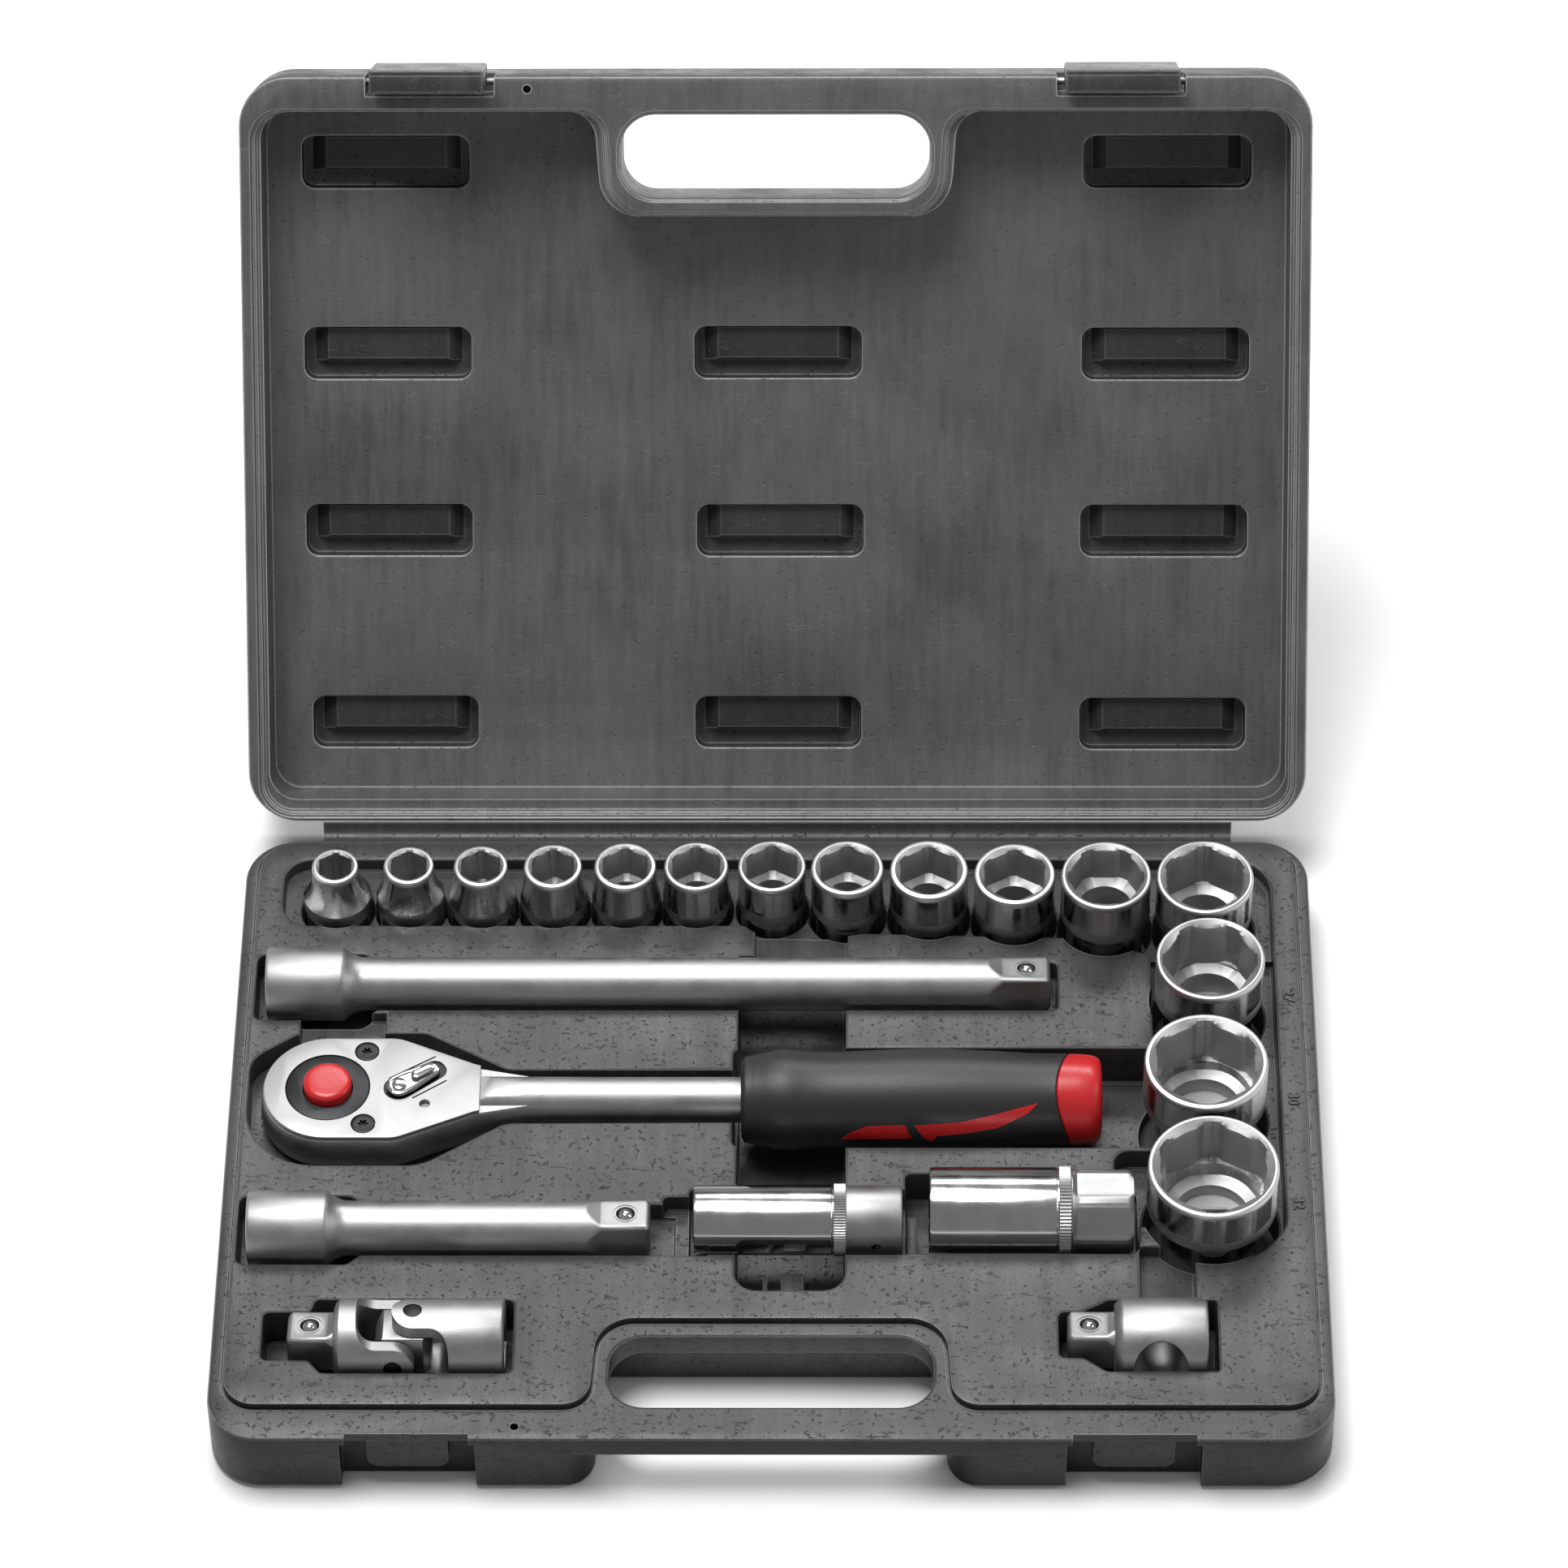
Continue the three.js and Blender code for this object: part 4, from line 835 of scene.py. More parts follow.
def build_socket(size, x, y, top, outside, drive, depth, corner_back):
    r, base = outside / 2, drive / 2
    wide = max(r, base)
    knurl_top = top - 13.5
    knurl_low = knurl_top - 4
    foot = base - 0.5
    half = size / 2 + 0.1
    corner = half / math.cos(math.pi / 6)
    start = math.pi / 6 if corner_back else 0
    hexagon = hex_radius(half, start)
    bore = min(0.385 * size, 11.6)
    seat = SOCKET_FOOT + 14
    square = square_radius(DRIVE_HOLE / 2, 8.7)
    outer = [
        (foot - 1, SOCKET_FOOT), (foot - 0.3, SOCKET_FOOT + 0.3), (foot, SOCKET_FOOT + 1),
        (foot, knurl_low - 0.5), (foot + (wide - foot) * 0.5, knurl_low - 0.2), (wide - 0.15, knurl_low),
    ]
    loops = [ring_z(rad, z, RIBS) for rad, z in outer]
    first_rib = len(loops) - 1
    ribs = knurl(wide - 0.1)
    loops += [ring_z(ribs, knurl_low + 0.25, RIBS), ring_z(ribs, knurl_top - 0.25, RIBS)]
    first_body = len(loops)
    loops.append(ring_z(wide - 0.12, knurl_top, RIBS))
    rise = 10.4 if base > r else 0.8
    for k in range(1, 13):
        share = k / 12
        loops.append(ring_z(r + (wide - 0.15 - r) * (1 - share) ** 1.8, knurl_top + rise * share, RIBS))
    loops.append(ring_z(r, top - 2.2, RIBS))
    rim = len(loops) - 1
    for drop, inset in ((1.1, 0), (0.55, 0.1), (0.2, 0.32), (0, 0.75)):
        loops.append(ring_z(r - inset, top - drop, RIBS))
    mouth = corner + 0.35
    for drop in (0, 0.25, 0.6, 1.1, 1.6, 2.2, 3):
        limit = mouth - drop * 1.6
        loops.append(ring_z(lambda a, lim=limit: max(hexagon(a), lim), top - drop, RIBS))
    inside = len(loops) - 1
    loops.append(ring_z(hexagon, top - depth * 0.5, RIBS))
    loops.append(ring_z(hexagon, top - depth, RIBS))
    loops.append(ring_z(lambda a: max(bore + 0.25, hexagon(a) * 0.86), top - depth - 0.7, RIBS))
    loops.append(ring_z(bore + 0.1, top - depth - 1.3, RIBS))
    loops.append(ring_z(bore, top - depth - 1.8, RIBS))
    loops.append(ring_z(bore, min(seat + 0.6, top - depth - 2.2), RIBS))
    deep = len(loops) - 1
    if bore > 8.8:
        loops.append(ring_z(lambda a: min(bore - 0.5, square(a) + 0.6), seat, RIBS))
    small = lambda a: min(bore - 0.3, square(a)) if bore < 8.8 else square(a)
    loops.append(ring_z(small, seat - 0.4, RIBS))
    loops.append(ring_z(square, seat - 1.4, RIBS))
    deep_end = len(loops) - 1
    loops.append(ring_z(square, SOCKET_FOOT + 0.6, RIBS))
    loops.append(ring_z(lambda a: min(square(a) + 0.5, foot - 1.4), SOCKET_FOOT, RIBS))

    def shade(band):
        if band < first_rib or first_body <= band < rim:
            return 0
        if band < inside:
            return 1
        # Material 3, the seat at the foot of the bore, is the lighter steel as painted light.
        return 3 if deep <= band < deep_end else 2

    name = f"socket_{size}"
    bm = loft(loops, closed=True, shade=shade)
    skins = [SOCKET_CHROME, RIM_STEEL, BORE, PAINTED_LIGHT_SEAT]
    place(name + "_body", bm, skins, name, [name], Matrix.Translation((x, y, 0)), 26)


def square_drive_loops(x0, x1, wide, count):
    """Rings from a round shank at x0 into a bevelled square ending at x1."""
    way = 1 if x1 > x0 else -1
    loops = []
    for share in (0, 0.12, 0.25, 0.4, 0.55, 0.7, 0.85, 1):
        half = wide + (DRIVE / 2 - wide) * share
        x = x0 + way * 5 * share
        body = square_radius(half, 8.7 if share > 0.6 else wide)
        loops.append(ring_x(lambda a, f=body: min(f(a), wide), x, count))
    square = square_radius(DRIVE / 2, 8.55)
    loops.append(ring_x(square, x1 - way * 1.5, count))
    loops.append(ring_x(square_radius(DRIVE / 2 - 0.15, 8.2), x1 - way * 0.9, count))
    loops.append(ring_x(square_radius(DRIVE / 2 - 0.6, 7.4), x1 - way * 0.25, count))
    loops.append(ring_x(square_radius(DRIVE / 2 - 1.1, 6.9), x1, count))
    return loops


def seat_for_ball(x):
    """The hole a detent ball sits in, with the staked ring round it."""
    hole = rod(2.95, DRIVE / 2 - 5.4, DRIVE / 2 + 3, 48)
    ring = rod(3.9, DRIVE / 2 - 0.22, DRIVE / 2 + 3, 48)
    land = rod(3.45, DRIVE / 2 - 0.5, DRIVE / 2 + 4, 48)
    return moved(cut(join(hole, ring), cut(land, rod(2.96, -9, 20, 48))), x)


def detent_ball(name, x, matrix, body, node):
    bm = ball(BALL, x, 0, DRIVE / 2 + BALL_OUT - BALL)
    place(name, bm, POLISHED, body, [node], matrix)


def build_bar(name, x0, x1, y, roll):
    count = 128
    hole = square_radius(DRIVE_HOLE / 2, 8.75)
    loops = [
        ring_x(lambda a: 1.5, x0 + 14.6, count),
        ring_x(lambda a: hole(a) * 0.995, x0 + 14.4, count),
        ring_x(hole, x0 + 0.9, count),
        ring_x(lambda a: hole(a) + 0.5, x0 + 0.15, count),
        ring_x(BAR_HEAD - 1.1, x0, count),
        ring_x(BAR_HEAD - 0.35, x0 + 0.3, count),
        ring_x(BAR_HEAD, x0 + 1.1, count),
        ring_x(BAR_HEAD, x0 + 23.8, count),
        ring_x(BAR_HEAD - 0.15, x0 + 24.5, count),
    ]
    for share in (0.15, 0.35, 0.6, 0.8, 1):
        fall = 1 - (1 - share) ** 2
        loops.append(ring_x(BAR_HEAD - 0.3 + (SHANK - BAR_HEAD + 0.3) * fall, x0 + 24.7 + 6.3 * share, count))
    length = x1 - x0 - 31 - 20
    for k in range(1, 6):
        loops.append(ring_x(SHANK, x0 + 31 + length * k / 6, count))
    loops += square_drive_loops(x1 - 19.8, x1, SHANK, count)
    bm = loft(loops, shade=lambda band: 1 if band < 2 else 0)
    bm = cut(bm, seat_for_ball(x1 - 7.6))
    matrix = rolled(y, BAR_Z, roll)
    place(name + "_bar", bm, [SATIN, BORE], name, [name], matrix, 30)
    detent_ball(name + "_detent", x1 - 7.6, matrix, name + "_ball", name + "_ball")


def build_plug_socket(name, x0, x1, y, r, knurl_x, size):
    count = RIBS
    big = size > 18
    hexagon = hex_radius(size / 2 + 0.1, math.pi / 6)
    corner = (size / 2 + 0.1) / math.cos(math.pi / 6)
    loops = [
        ring_x(lambda a: 2, x0 + 34, count),
        ring_x(size / 2 - 0.6, x0 + 33.8, count),
        ring_x(size / 2 - 0.4, x0 + 22, count),
        ring_x(hexagon, x0 + 21.5, count),
    ]
    for drop in (3, 1.8, 1.0, 0.5, 0):
        limit = min(corner + 0.3, r - 0.9) - drop * 0.8
        loops.append(ring_x(lambda a, lim=limit: max(hexagon(a), lim), x0 + drop, count))
    inner = len(loops) - 2
    loops += [
        ring_x(r - 0.7, x0, count), ring_x(r - 0.2, x0 + 0.3, count), ring_x(r, x0 + 1, count),
        ring_x(r, knurl_x - 0.4, count), ring_x(r - 0.25, knurl_x, count), ring_x(r - 0.2, knurl_x + 0.3, count),
    ]
    chrome_end = len(loops) - 1
    ribs = knurl(r + 0.12, 0.36)
    loops += [ring_x(ribs, knurl_x + 0.5, count), ring_x(ribs, knurl_x + 4, count)]
    if big:
        six = hex_radius(12, math.radians(-3.6))
        loops.append(ring_x(r - 0.5, knurl_x + 4.3, count))
        for share, limit in ((0.2, 13.8), (0.8, 13.7), (1.6, 13.6)):
            loops.append(ring_x(lambda a, s=share: min(six(a) + max(0, 1.6 - s * 1.2), 13.6), knurl_x + 4.4 + share, count))
        body = lambda a: min(six(a), 13.55)
        loops += [ring_x(body, knurl_x + 7, count), ring_x(body, x1 - 2, count)]
        loops += [ring_x(lambda a: min(body(a), 13.0), x1 - 1, count), ring_x(lambda a: min(body(a), 12.2), x1, count)]
    else:
        loops += [
            ring_x(r - 0.1, knurl_x + 4.4, count), ring_x(r - 0.1, x1 - 1.1, count),
            ring_x(r - 0.4, x1 - 0.35, count), ring_x(r - 1.1, x1, count),
        ]
    square = square_radius(DRIVE_HOLE / 2, 8.75)
    loops += [
        ring_x(lambda a: square(a) + 0.5, x1 - 0.1, count), ring_x(square, x1 - 0.9, count),
        ring_x(square, x1 - 14.6, count), ring_x(lambda a: 1.5, x1 - 14.8, count),
    ]
    last_band = len(loops)

    def shade(band):
        if band < inner:
            return 2
        if band < chrome_end:
            return 0
        return 2 if band > last_band - 4 else 1

    bm = loft(loops, shade=shade)
    if not big:
        bm = cut(bm, rod_y(1.5, -20, 0, knurl_x + 13.4, 0, 32))
    matrix = Matrix.Translation((0, y, PLUG_Z))
    place(name + "_body", bm, [CHROME, SATIN, BORE], name, [name], matrix, 28)
    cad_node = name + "_rubber"
    outer = size / 2 - 0.7
    ring_loops = [
        ring_x(outer - 2.2, x0 + 23, 64), ring_x(outer - 0.4, x0 + 23, 64), ring_x(outer, x0 + 23.4, 64),
        ring_x(outer, x0 + 32.6, 64), ring_x(outer - 0.4, x0 + 33, 64), ring_x(outer - 2.2, x0 + 33, 64),
    ]
    place(name + "_insert", loft(ring_loops, closed=True), RUBBER, name, [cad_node], matrix)


# ---- universal joint and sliding adaptor ------------------------------------------------------
def cheeks(x0, pin_x, turn_degrees):
    tip = 6.4
    low, high = min(x0, pin_x), max(x0, pin_x)
    arm = box(low, high, 7.3, 14.5, -tip, tip)
    end = rod_y(tip, 7.3, 14.5, pin_x, 0, 64)
    both = join(arm, end)
    other = both.copy()
    other.transform(Matrix.Scale(-1, 4, (0, 1, 0)))
    bmesh.ops.reverse_faces(other, faces=other.faces)
    return turned(join(both, other), "X", turn_degrees)


def throat(x0, x1, turn_degrees):
    """Cutter for the slot between two cheeks and the round shoulders beside them."""
    slot = outline_loft(rectangle(x0, x1, -7.3, 7.3, 4), [(-20, 0), (20, 0)], 10)
    return turned(slot, "X", turn_degrees)


def shoulders(x, turn_degrees):
    return [turned(rod_y(6.2, -20, 20, x, z, 64), "X", turn_degrees) for z in (-12.6, 12.6)]


def build_joint():
    matrix = rolled(JOINT_Y, JOINT_Z, JOINT_ROLL)
    limit = loft([ring_x(JOINT_R, -136, 128), ring_x(JOINT_R, -80, 128)])
    profile = ((10.4, -133.2), (11.6, -132.6), (JOINT_R, -131.4), (JOINT_R, -120.2))
    base = loft([ring_x(r, x, 128) for r, x in profile])
    base = cut(base, throat(-126.2, -100, 0), *shoulders(-120, 0))
    arms = keep(cheeks(-127, PIN_A, 0), limit)
    square = loft(square_drive_loops(-130.5, -147.4, 8.6, 128))
    yoke = join(base, arms, square)
    yoke = cut(yoke, rod_y(PIN_R + 0.2, -20, 20, PIN_A), seat_for_ball(-140.6))
    place("joint_drive_half", yoke, SATIN, "joint_drive", ["joint_drive_yoke"], matrix, 30)
    detent_ball("joint_detent", -140.6, matrix, "joint_ball", "joint_ball")

    limit = loft([ring_x(JOINT_R, -136, 128), ring_x(JOINT_R, -80, 128)])
    profile = ((JOINT_R, -103.9), (JOINT_R, -82.3), (JOINT_R - 0.25, -81.7), (JOINT_R - 0.9, -81.3))
    base = loft([ring_x(r, x, 128) for r, x in profile])
    base = cut(base, throat(-120, -98, 90), *shoulders(-104.1, 90))
    arms = keep(cheeks(-97.5, PIN_B, 90), limit)
    yoke = join(base, arms)
    hole = loft([ring_x(square_radius(DRIVE_HOLE / 2, 8.75), -95, 64), ring_x(square_radius(DRIVE_HOLE / 2, 8.75), -80, 64)])
    yoke = cut(yoke, moved(rod(PIN_R + 0.2, -20, 20), PIN_B), hole)
    place("joint_socket_half", yoke, SATIN, "joint_socket", ["joint_socket_yoke"], matrix, 30)

    cross = keep(rod_x(9.4, -120.6, -103.4, 96), box(-121, -103, -6.9, 6.9, -6.9, 6.9, 0.8))
    cross = keep(cross, rod_y(9.2, -20, 20, -112, 0, 64), moved(rod(9.2, -20, 20, 64), -112))
    cross = cut(cross, rod_y(PIN_R + 0.2, -20, 20, PIN_A), moved(rod(PIN_R + 0.2, -20, 20), PIN_B))
    place("joint_block", cross, SATIN, "joint_cross", ["joint_cross"], matrix, 30)
    pin = rod(PIN_R, -JOINT_R + 0.3, JOINT_R - 0.3, 48, 0.3)
    place("joint_upright_pin", moved(pin, PIN_B), DARK_STEEL, "joint_cross", ["joint_pin_upright"], matrix)
    pin = turned(rod(PIN_R, -JOINT_R + 0.3, JOINT_R - 0.3, 48, 0.3), "X", 90)
    place("joint_across_pin", moved(pin, PIN_A), DARK_STEEL, "joint_drive", ["joint_pin_across"], matrix)


def build_slider():
    matrix = rolled(SLIDER_Y, SLIDER_Z, SLIDER_ROLL)
    profile = [
        (8.4, 104.4), (10.8, 104.6), (11.6, 105.2), (12.6, 106.4), (SLIDER_R, 107.2), (SLIDER_R, 131.4),
        (SLIDER_R - 0.3, 132.3), (SLIDER_R - 1, 132.8),
    ]
    body = loft([ring_x(r, x, 128) for r, x in profile])
    square = loft(square_drive_loops(107, 90.2, 8.6, 128))
    body = join(body, square)
    body = cut(body, rod_y(8.3, -20, 20, 118.5, 0, 96), seat_for_ball(96.8))
    place("slider_body", body, SATIN, "slider", ["slider"], matrix, 30)
    detent_ball("slider_detent", 96.8, matrix, "slider_ball", "slider_ball")


# ---- ratchet -------------------------------------------------------------------------------
def head_plan(inset):
    r = HEAD_R - inset
    corners = []
    for k in range(37):
        a = math.radians(90 + 5 * k)
        corners.append((HEAD_X + r * math.cos(a), r * math.sin(a), 0))
    corners.append((HEAD_X + 22 - inset * 0.4, -r, 12))
    corners.append((NECK_X - 1, -9.8 + inset, 16))
    corners.append((NECK_X + 15, -6.6 + inset, 0))
    corners.append((NECK_X + 15, 6.6 - inset, 0))
    corners.append((NECK_X - 1, 9.8 - inset, 16))
    corners.append((HEAD_X + 22 - inset * 0.4, r, 12))
    return rounded(corners, 14)


def plan_loft(levels):
    return loft([[(x, y, z) for x, y in head_plan(inset)] for z, inset in levels])


def smooth_profile(points, steps=6):
    """Extra rings between (radius, x) stations, eased so the outline has no kinks."""
    out = []
    for i in range(len(points) - 1):
        p0 = points[max(i - 1, 0)]
        p1, p2 = points[i], points[i + 1]
        p3 = points[min(i + 2, len(points) - 1)]
        for k in range(steps):
            t = k / steps
            r = 0.5 * (2 * p1[0] + (p2[0] - p0[0]) * t + (2 * p0[0] - 5 * p1[0] + 4 * p2[0] - p3[0]) * t * t
                       + (3 * p1[0] - p0[0] - 3 * p2[0] + p3[0]) * t ** 3)
            out.append((r, p1[1] + (p2[1] - p1[1]) * t))
    out.append(points[-1])
    return out


GRIP_PROFILE = smooth_profile(
    [(11.9, GRIP_X0), (13.4, GRIP_X0 + 0.9), (14.2, -6), (15.6, 0), (15.95, 4.5), (15.3, 11), (15.05, 17),
     (15.4, 28), (15.85, 40), (15.95, 52), (15.5, 65), (14.8, 77), (14.45, 86), (14.4, CAP_X + 2)]
)


def grip_radius(x):
    for (r0, x0), (r1, x1) in zip(GRIP_PROFILE, GRIP_PROFILE[1:]):
        if x0 <= x <= x1:
            return r0 + (r1 - r0) * (x - x0) / (x1 - x0)
    return GRIP_PROFILE[-1][0]


def flash(name, outline):
    """A thin inlay on the grip: outline points are (x, degrees round from the top to the front)."""
    bm = bmesh.new()
    dense = []
    for (xa, aa), (xb, ab) in zip(outline, outline[1:] + outline[:1]):
        for k in range(6):
            dense.append((xa + (xb - xa) * k / 6, aa + (ab - aa) * k / 6))
    verts = [bm.verts.new((x, a * 0.27, 0)) for x, a in dense]
    bm.faces.new(verts)
    bmesh.ops.triangulate(bm, faces=bm.faces[:])
    for _ in range(2):
        bmesh.ops.subdivide_edges(bm, edges=bm.edges[:], cuts=1)
    bmesh.ops.triangulate(bm, faces=bm.faces[:])
    shell = bmesh.ops.extrude_face_region(bm, geom=bm.faces[:])
    top = {v for v in shell["geom"] if isinstance(v, bmesh.types.BMVert)}
    for v in bm.verts:
        x, a = v.co.x, math.radians(v.co.y / 0.27)
        r = grip_radius(x) + (0.16 if v in top else -0.35)
        v.co = Vector((x, -r * math.sin(a), r * math.cos(a)))
    matrix = Matrix.Translation((0, RATCHET_Y, RATCHET_Z))
    place(name, bm, RED, "ratchet", (), matrix, 50)


def build_ratchet():
    on_axis = Matrix.Translation((0, RATCHET_Y, 0))
    shell = plan_loft([
        (HEAD_LOW, 1.4), (HEAD_LOW + 1, 0.1), (HEAD_LOW + 3, -0.6), (HEAD_LOW + 5.5, -0.8), (HEAD_LOW + 8, -0.6),
        (HEAD_TOP - 2.6, -0.2), (HEAD_TOP - 0.9, 0.25), (HEAD_TOP - 0.2, 0.5), (HEAD_TOP, 0.7),
    ])
    shank = [(7.2, NECK_X - 7), (7.25, NECK_X + 2), (7.2, NECK_X + 14), (7.1, -50), (7.15, GRIP_X0 + 1.5)]
    neck = moved(loft([ring_x(r, x, 96) for r, x in shank]), 0, 0, RATCHET_Z)
    neck = cut(neck, box(NECK_X - 9, NECK_X + 0.3, -9, 9, HEAD_TOP - 0.2, COVER_TOP + 4))
    wedge = loft([
        [(NECK_X, -9, COVER_TOP - 0.5), (NECK_X, 9, COVER_TOP - 0.5), (NECK_X, 9, COVER_TOP + 5), (NECK_X, -9, COVER_TOP + 5)],
        [(NECK_X + 9, -9, COVER_TOP + 1.4), (NECK_X + 9, 9, COVER_TOP + 1.4), (NECK_X + 9, 9, COVER_TOP + 5), (NECK_X + 9, -9, COVER_TOP + 5)],
    ])
    neck = cut(neck, wedge)
    shell = join(shell, neck)
    shell = cut(
        shell,
        moved(rod(16.3, HEAD_LOW + 2.6, HEAD_TOP + 5, 96), HEAD_X),
        moved(rod(10.2, HEAD_LOW - 1, HEAD_LOW + 5, 64), HEAD_X),
        outline_loft(rectangle(HEAD_X + 12, HEAD_X + 29, -10.4, 10.4, 3), [(HEAD_LOW + 2.6, 0), (HEAD_TOP + 5, 0)]),
    )
    place("ratchet_forging", shell, SATIN, "ratchet", ["ratchet_body"], on_axis, 32)

    cover = plan_loft([(HEAD_TOP + 0.3, 0.4), (COVER_TOP - 0.5, 0.4), (COVER_TOP - 0.15, 0.55), (COVER_TOP, 0.95)])
    cutters = [
        box(NECK_X, NECK_X + 20, -20, 20, HEAD_TOP - 1, COVER_TOP + 2),
        moved(rod(HUB_R + 0.35, HEAD_TOP - 1, COVER_TOP + 2, 96), HEAD_X),
        moved(rod(2.6, HEAD_TOP - 1, COVER_TOP + 2, 48), LEVER_X),
        moved(rod(1.75, HEAD_TOP - 1, COVER_TOP + 2, 32), -109, -6.6),
    ]
    for side in (-1, 1):
        cutters.append(moved(rod(3.9, HEAD_TOP - 1, COVER_TOP + 2, 48), HEAD_X + SCREW_DX, side * SCREW_DY))
    for x0, y0, x1, y1 in ((-120.6, 3.6, -106.2, 12.6), (-113.0, -4.4, -102.4, 2.9)):
        bar = outline_loft(rectangle(0, math.hypot(x1 - x0, y1 - y0), -0.28, 0.28, 0.2), [(COVER_TOP - 0.5, 0), (COVER_TOP + 1, 0)], 4)
        bar.transform(Matrix.Translation((x0, y0, 0)) @ Matrix.Rotation(math.atan2(y1 - y0, x1 - x0), 4, "Z"))
        cutters.append(bar)
    fan = outline_loft([(-5.2, -5.2, 5.1), (16.4, -3.6, 3.4), (16.4, 3.6, 3.4), (-5.2, 5.2, 5.1)], [(COVER_TOP - 0.55, 0), (COVER_TOP + 1, 0)], 10)
    fan.transform(Matrix.Translation((LEVER_X, 0, 0)) @ Matrix.Rotation(math.radians(33), 4, "Z"))
    cover = cut(cover, *cutters, fan)
    for face in cover.faces:
        middle = face.calc_center_median()
        if abs(middle.z - COVER_TOP + 0.55) < 0.05 or (abs(middle.z - COVER_TOP + 0.5) < 0.02):
            face.material_index = 1
    place("ratchet_cover_plate", cover, [PLATE, DARK_STEEL], "ratchet", ["ratchet_cover"], on_axis, 30)

    for side, word in ((1, "back"), (-1, "front")):
        head = rod(3.6, HEAD_TOP + 0.3, COVER_TOP, 48, 0.35)
        star = loft([ring_z(lambda a: 1.35 + 0.42 * math.cos(6 * a), z, 48) for z in (COVER_TOP - 1.1, COVER_TOP + 1)])
        ring = cut(rod(2.95, COVER_TOP - 0.12, COVER_TOP + 1, 48), rod(2.6, COVER_TOP - 1, COVER_TOP + 2, 48))
        screw = join(cut(head, star, ring), rod(1.15, HEAD_TOP - 8, HEAD_TOP + 0.6, 24))
        screw = moved(screw, HEAD_X + SCREW_DX, side * SCREW_DY)
        place(f"screw_{word}", screw, DARK_STEEL, "ratchet", [f"cover_screw_{word}"], on_axis, 30)

    at_head = Matrix.Translation((HEAD_X, RATCHET_Y, 0))
    teeth = loft([
        ring_z(lambda a: 15.1 + 0.5 * math.cos(36 * a), z, 288) for z in (HEAD_LOW + 3, HEAD_TOP - 0.2)
    ])
    hub = rod(HUB_R, HEAD_TOP - 1, COVER_TOP - 0.1, 96, 0.25)
    neck = rod(9.8, HEAD_LOW - 0.2, HEAD_LOW + 4, 64)
    tip = turned(loft([ring_x(r, -z, 64) for r, z in ((7.2, 3.4), (8.7, 4.8), (8.7, HEAD_LOW))]), "Y", 90)
    square = loft([ring_z(square_radius(DRIVE / 2, 9), z, 64) for z in (3.4, HEAD_LOW)])
    gear = join(teeth, hub, neck, keep(square, tip))
    gear = cut(
        gear,
        rod(BUTTON_R + 0.35, HEAD_TOP - 4, COVER_TOP + 2, 64),
        rod(2.6, 11.5, HEAD_TOP, 32),
        moved(turned(rod(2.95, 0, 9, 32), "X", 90), 0, -0.8, 9.5),
    )
    place("drive_gear", gear, DARK_STEEL, "ratchet_gear", ["ratchet_gear"], at_head, 30)
    profile = [
        (BUTTON_R - 0.2, HEAD_TOP - 0.8), (BUTTON_R, HEAD_TOP), (BUTTON_R, COVER_TOP + 2.3),
        (BUTTON_R - 0.2, COVER_TOP + 2.9), (BUTTON_R - 0.8, COVER_TOP + 3.5), (BUTTON_R - 1.9, COVER_TOP + 3.75),
        (3, COVER_TOP + 3.8),
    ]
    button = join(lathe_z(profile, 96), rod(2.3, 14.5, HEAD_TOP, 32))
    place("release_button", button, RED, "ratchet_button", ["ratchet_button"], at_head, 40)
    place("ratchet_detent", ball(BALL, 0, -DRIVE / 2 - BALL_OUT + BALL, 9.5), POLISHED, "ratchet_ball",
          ["ratchet_ball"], at_head)

    plan = rectangle(HEAD_X + 13, LEVER_X + 3.4, -7.6, 7.6, 1.5)
    pawl = outline_loft(plan, [(HEAD_LOW + 3, 0), (HEAD_TOP - 0.6, 0)])
    pawl = cut(pawl, moved(rod(17.4, HEAD_LOW, HEAD_TOP + 2, 96), HEAD_X), moved(rod(1.85, HEAD_LOW, HEAD_TOP + 2, 32), LEVER_X))
    lean = Matrix.Translation((LEVER_X, RATCHET_Y, 0)) @ Matrix.Rotation(math.radians(4), 4, "Z") @ Matrix.Translation((-LEVER_X, 0, 0))
    place("pawl", pawl, DARK_STEEL, "ratchet_pawl", ["ratchet_pawl"], lean, 30)

    outline = [(-4, -4, 3.9), (3, -4, 2), (14, -2.4, 2.3), (14, 2.4, 2.3), (3, 4, 2), (-4, 4, 3.9)]
    low = COVER_TOP + 0.3
    plate = outline_loft(outline, [(low, 0), (low + 1.0, 0), (low + 1.35, -0.15), (low + 1.5, -0.5)], 8)
    groove = outline_loft(grown(outline, -1.1), [(low + 1.1, 0), (low + 3, 0)], 8)
    tab = outline_loft(rectangle(4.6, 12.6, -1.7, 1.7, 1.6), [(low + 0.8, 0), (low + 2.2, 0), (low + 2.55, -0.2), (low + 2.7, -0.6)], 6)
    boss = rod(2.3, HEAD_TOP - 0.3, low + 1.9, 48, 0.3)
    axle = rod(1.5, HEAD_LOW + 3, HEAD_TOP, 24)
    lever = join(cut(plate, groove), tab, boss, axle)
    turn = Matrix.Translation((LEVER_X, RATCHET_Y, 0)) @ Matrix.Rotation(math.radians(33), 4, "Z")
    place("reversing_lever", lever, CHROME, "ratchet_lever", ["ratchet_lever"], turn, 30)

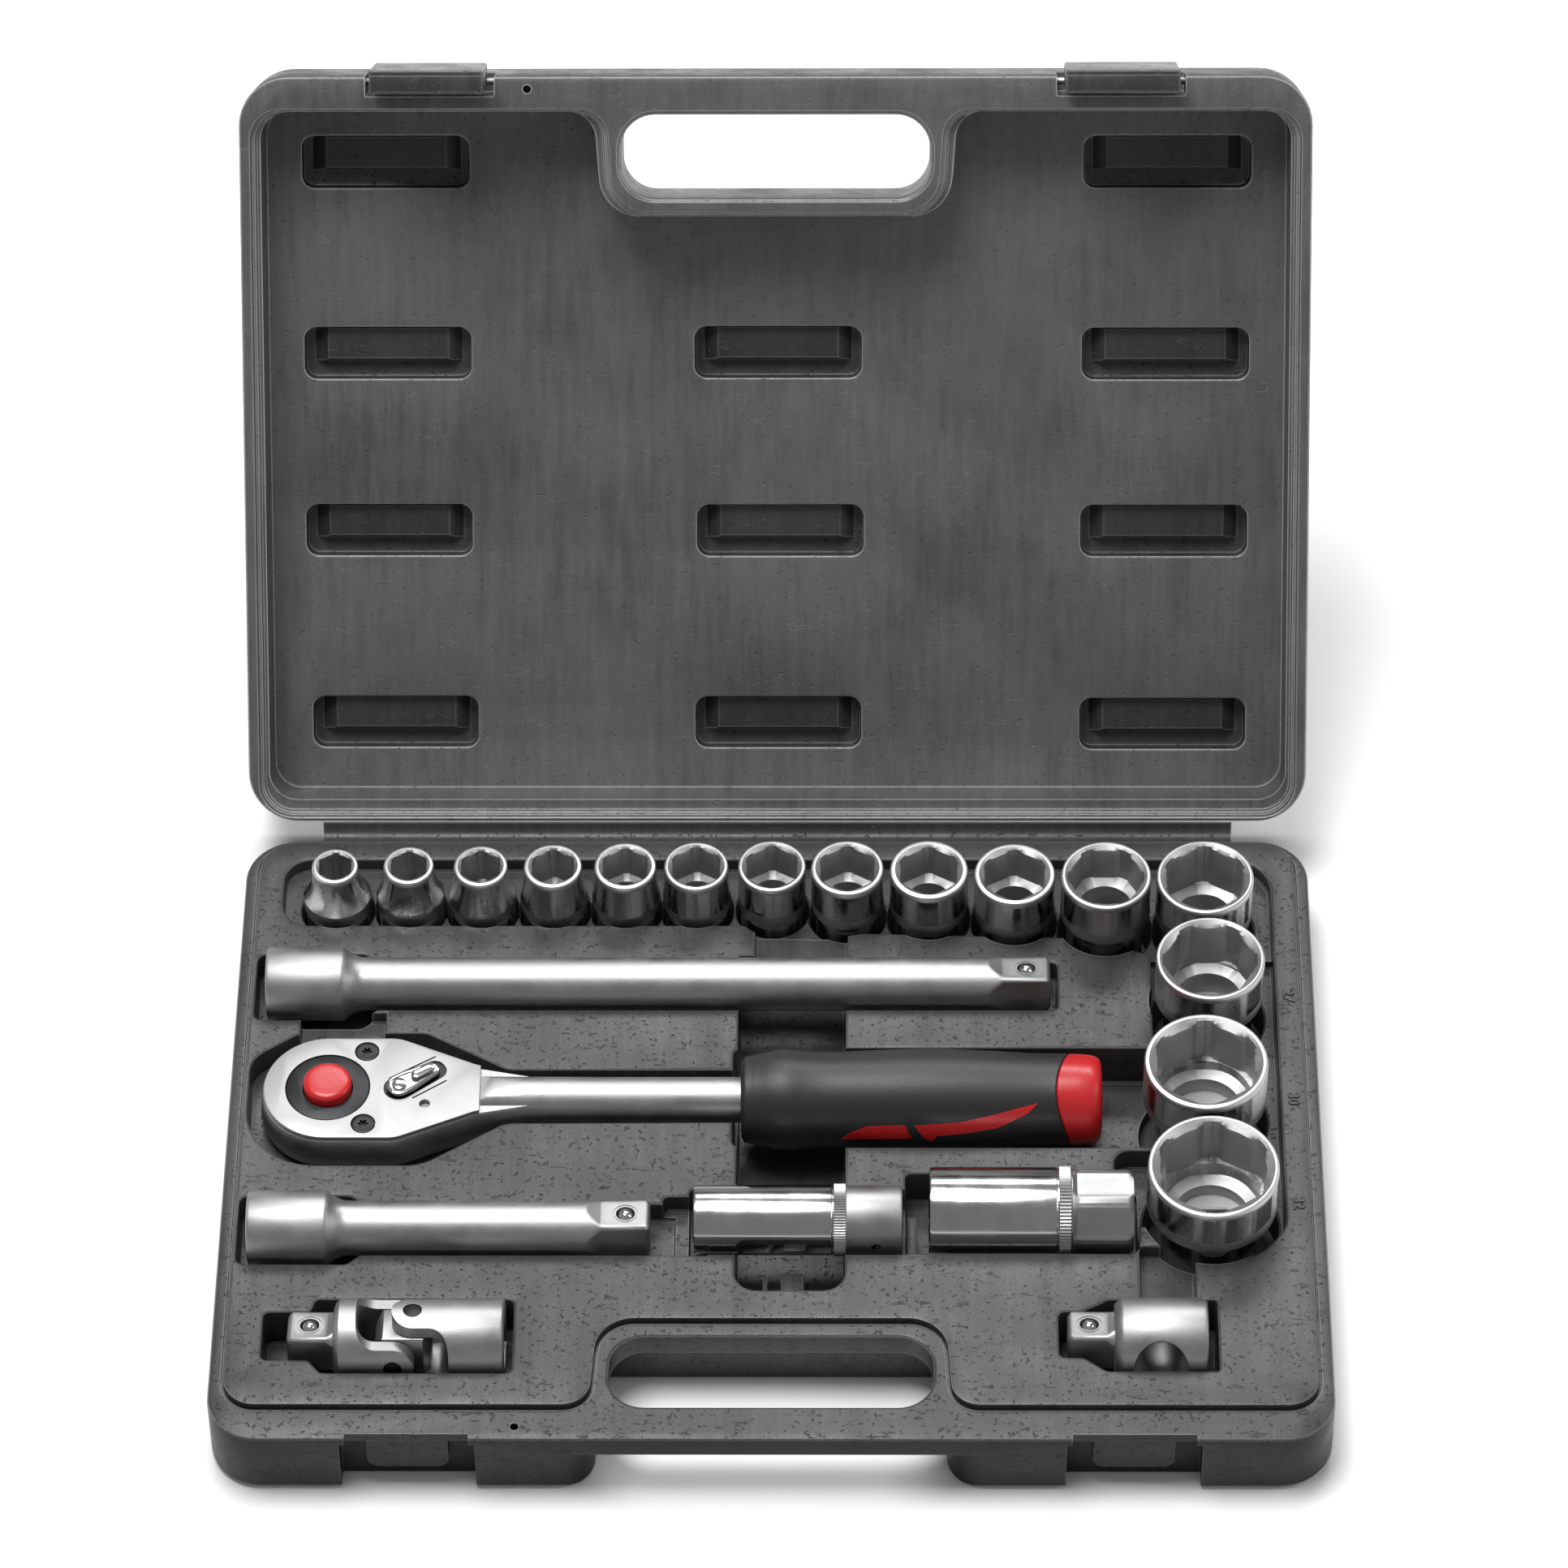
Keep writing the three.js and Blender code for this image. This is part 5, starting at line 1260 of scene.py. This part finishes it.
    grip_at = Matrix.Translation((0, RATCHET_Y, RATCHET_Z))
    seam = lambda a: CAP_X - 0.6 + 2.1 * math.sin(2 * a + 0.6)
    count = 96
    body = [(11.4, GRIP_X0 + 2.6), (7.7, GRIP_X0 + 2.5), (7.7, GRIP_X0 + 0.3), (8.3, GRIP_X0), *GRIP_PROFILE[:-7]]
    loops = [ring_x(r, x, count) for r, x in body]
    end = [(seam(2 * math.pi * i / count), 2 * math.pi * i / count) for i in range(count)]
    loops.append([(x, 14.5 * math.cos(a), 14.5 * math.sin(a)) for x, a in end])
    loops.append([(x + 0.35, 14.1 * math.cos(a), 14.1 * math.sin(a)) for x, a in end])
    loops.append([(x + 0.35, 11.4 * math.cos(a), 11.4 * math.sin(a)) for x, a in end])
    place("grip_sleeve_skin", loft(loops, closed=True), GRIP, "ratchet", ["grip_sleeve"], grip_at, 40)
    cap = [[(x + 0.45, 11 * math.cos(a), 11 * math.sin(a)) for x, a in end]]
    cap.append([(x + 0.45, 14 * math.cos(a), 14 * math.sin(a)) for x, a in end])
    cap.append([(x + 0.9, 14.4 * math.cos(a), 14.4 * math.sin(a)) for x, a in end])
    for r, x in ((14.35, 95), (14.1, 98.6), (13.7, 100.4), (12.9, 101.7), (11.6, 102.4), (9.5, GRIP_X1)):
        cap.append(ring_x(r, x, count))
    place("grip_end_cap", loft(cap), RED, "ratchet", ["grip_core"], grip_at, 40)
    flash("grip_flash_short", [(21, 93), (24, 82), (29, 72.5), (35, 70.5), (41, 70), (43, 88)])
    flash("grip_flash_long", [
        (44, 70), (58, 66), (68, 58), (76, 50), (82.5, 43.5), (79, 57), (70, 74), (60, 81), (51, 84), (49.5, 94), (47, 88),
    ])


# ---- build ---------------------------------------------------------------------------------
build_tray()
build_lid()
build_web()
for side, word in ((-1, "left"), (1, "right")):
    build_latch(side, word)
for socket in SOCKETS:
    build_socket(*socket)
for size, x, y, *_ in SOCKETS:
    if y < 60:
        number(str(size), 162.6, y + 2, PANEL, 5, -90)
    else:
        number(str(size), x, 114.4, PANEL, 4.2, 0)
for bar in BARS:
    build_bar(*bar)
build_plug_socket("plug_socket_16", -24.4, 40.2, -38.2, 10.9, 18.5, 16)
build_plug_socket("plug_socket_21", 48.3, 111.3, -35, 13.9, 87.9, 21)
build_joint()
build_slider()
build_ratchet()

# ---- camera, floor and light -------------------------------------------------------------------
pitch, yaw, roll = math.radians(47.99), math.radians(-1.0), math.radians(-0.75)
forward = Vector((math.sin(yaw) * math.cos(pitch), math.cos(yaw) * math.cos(pitch), -math.sin(pitch)))
side = Vector((math.cos(yaw), -math.sin(yaw), 0))
above = side.cross(forward)
right = side * math.cos(roll) + above * math.sin(roll)
up = above * math.cos(roll) - side * math.sin(roll)
camera_data = bpy.data.cameras.new("camera")
camera_data.sensor_width = 36
camera_data.lens = 167.95
camera_data.clip_end = 20
camera = bpy.data.objects.new("camera", camera_data)
bpy.context.scene.collection.objects.link(camera)
turn = Matrix((right, up, -forward)).transposed().to_4x4()
camera.matrix_world = Matrix.Translation((0.02993, -1.44938, 1.79559)) @ turn
bpy.context.scene.camera = camera

floor_bm = bmesh.new()
bmesh.ops.create_grid(floor_bm, x_segments=1, y_segments=1, size=3)
floor_mesh = bpy.data.meshes.new("floor")
floor_bm.to_mesh(floor_mesh)
floor_bm.free()
floor = bpy.data.objects.new("floor", floor_mesh)
floor.location = (0, 0, -0.0004)
bpy.context.scene.collection.objects.link(floor)
paper = Look("floor_paper")
paper.shader.inputs["Base Color"].default_value = (0.93, 0.93, 0.93, 1)
paper.shader.inputs["Roughness"].default_value = 0.8
floor_mesh.materials.append(paper.material)


def area(name, place_at, aim, size, power, size_y=None):
    data = bpy.data.lights.new(name, "AREA")
    data.energy = power
    data.size = size
    if size_y:
        data.shape = "RECTANGLE"
        data.size_y = size_y
    lamp = bpy.data.objects.new(name, data)
    bpy.context.scene.collection.objects.link(lamp)
    lamp.location = place_at
    lamp.rotation_euler = (Vector(aim) - Vector(place_at)).to_track_quat("-Z", "Y").to_euler()


area("key", (-0.4, 0.25, 2.3), (0, 0, 0), 1.1, 52, 1.1)
area("back", (0.25, 1.6, 1.7), (0, 0.1, 0), 1.7, 24, 0.45)
area("side", (1.7, -0.1, 1.0), (0, 0, 0), 0.6, 7, 1.4)
world = bpy.data.worlds.new("studio")
world.use_nodes = True
world.node_tree.nodes["Background"].inputs["Color"].default_value = (1, 1, 1, 1)
world.node_tree.nodes["Background"].inputs["Strength"].default_value = 0.3
bpy.context.scene.world = world
bpy.context.scene.view_settings.view_transform = "Standard"
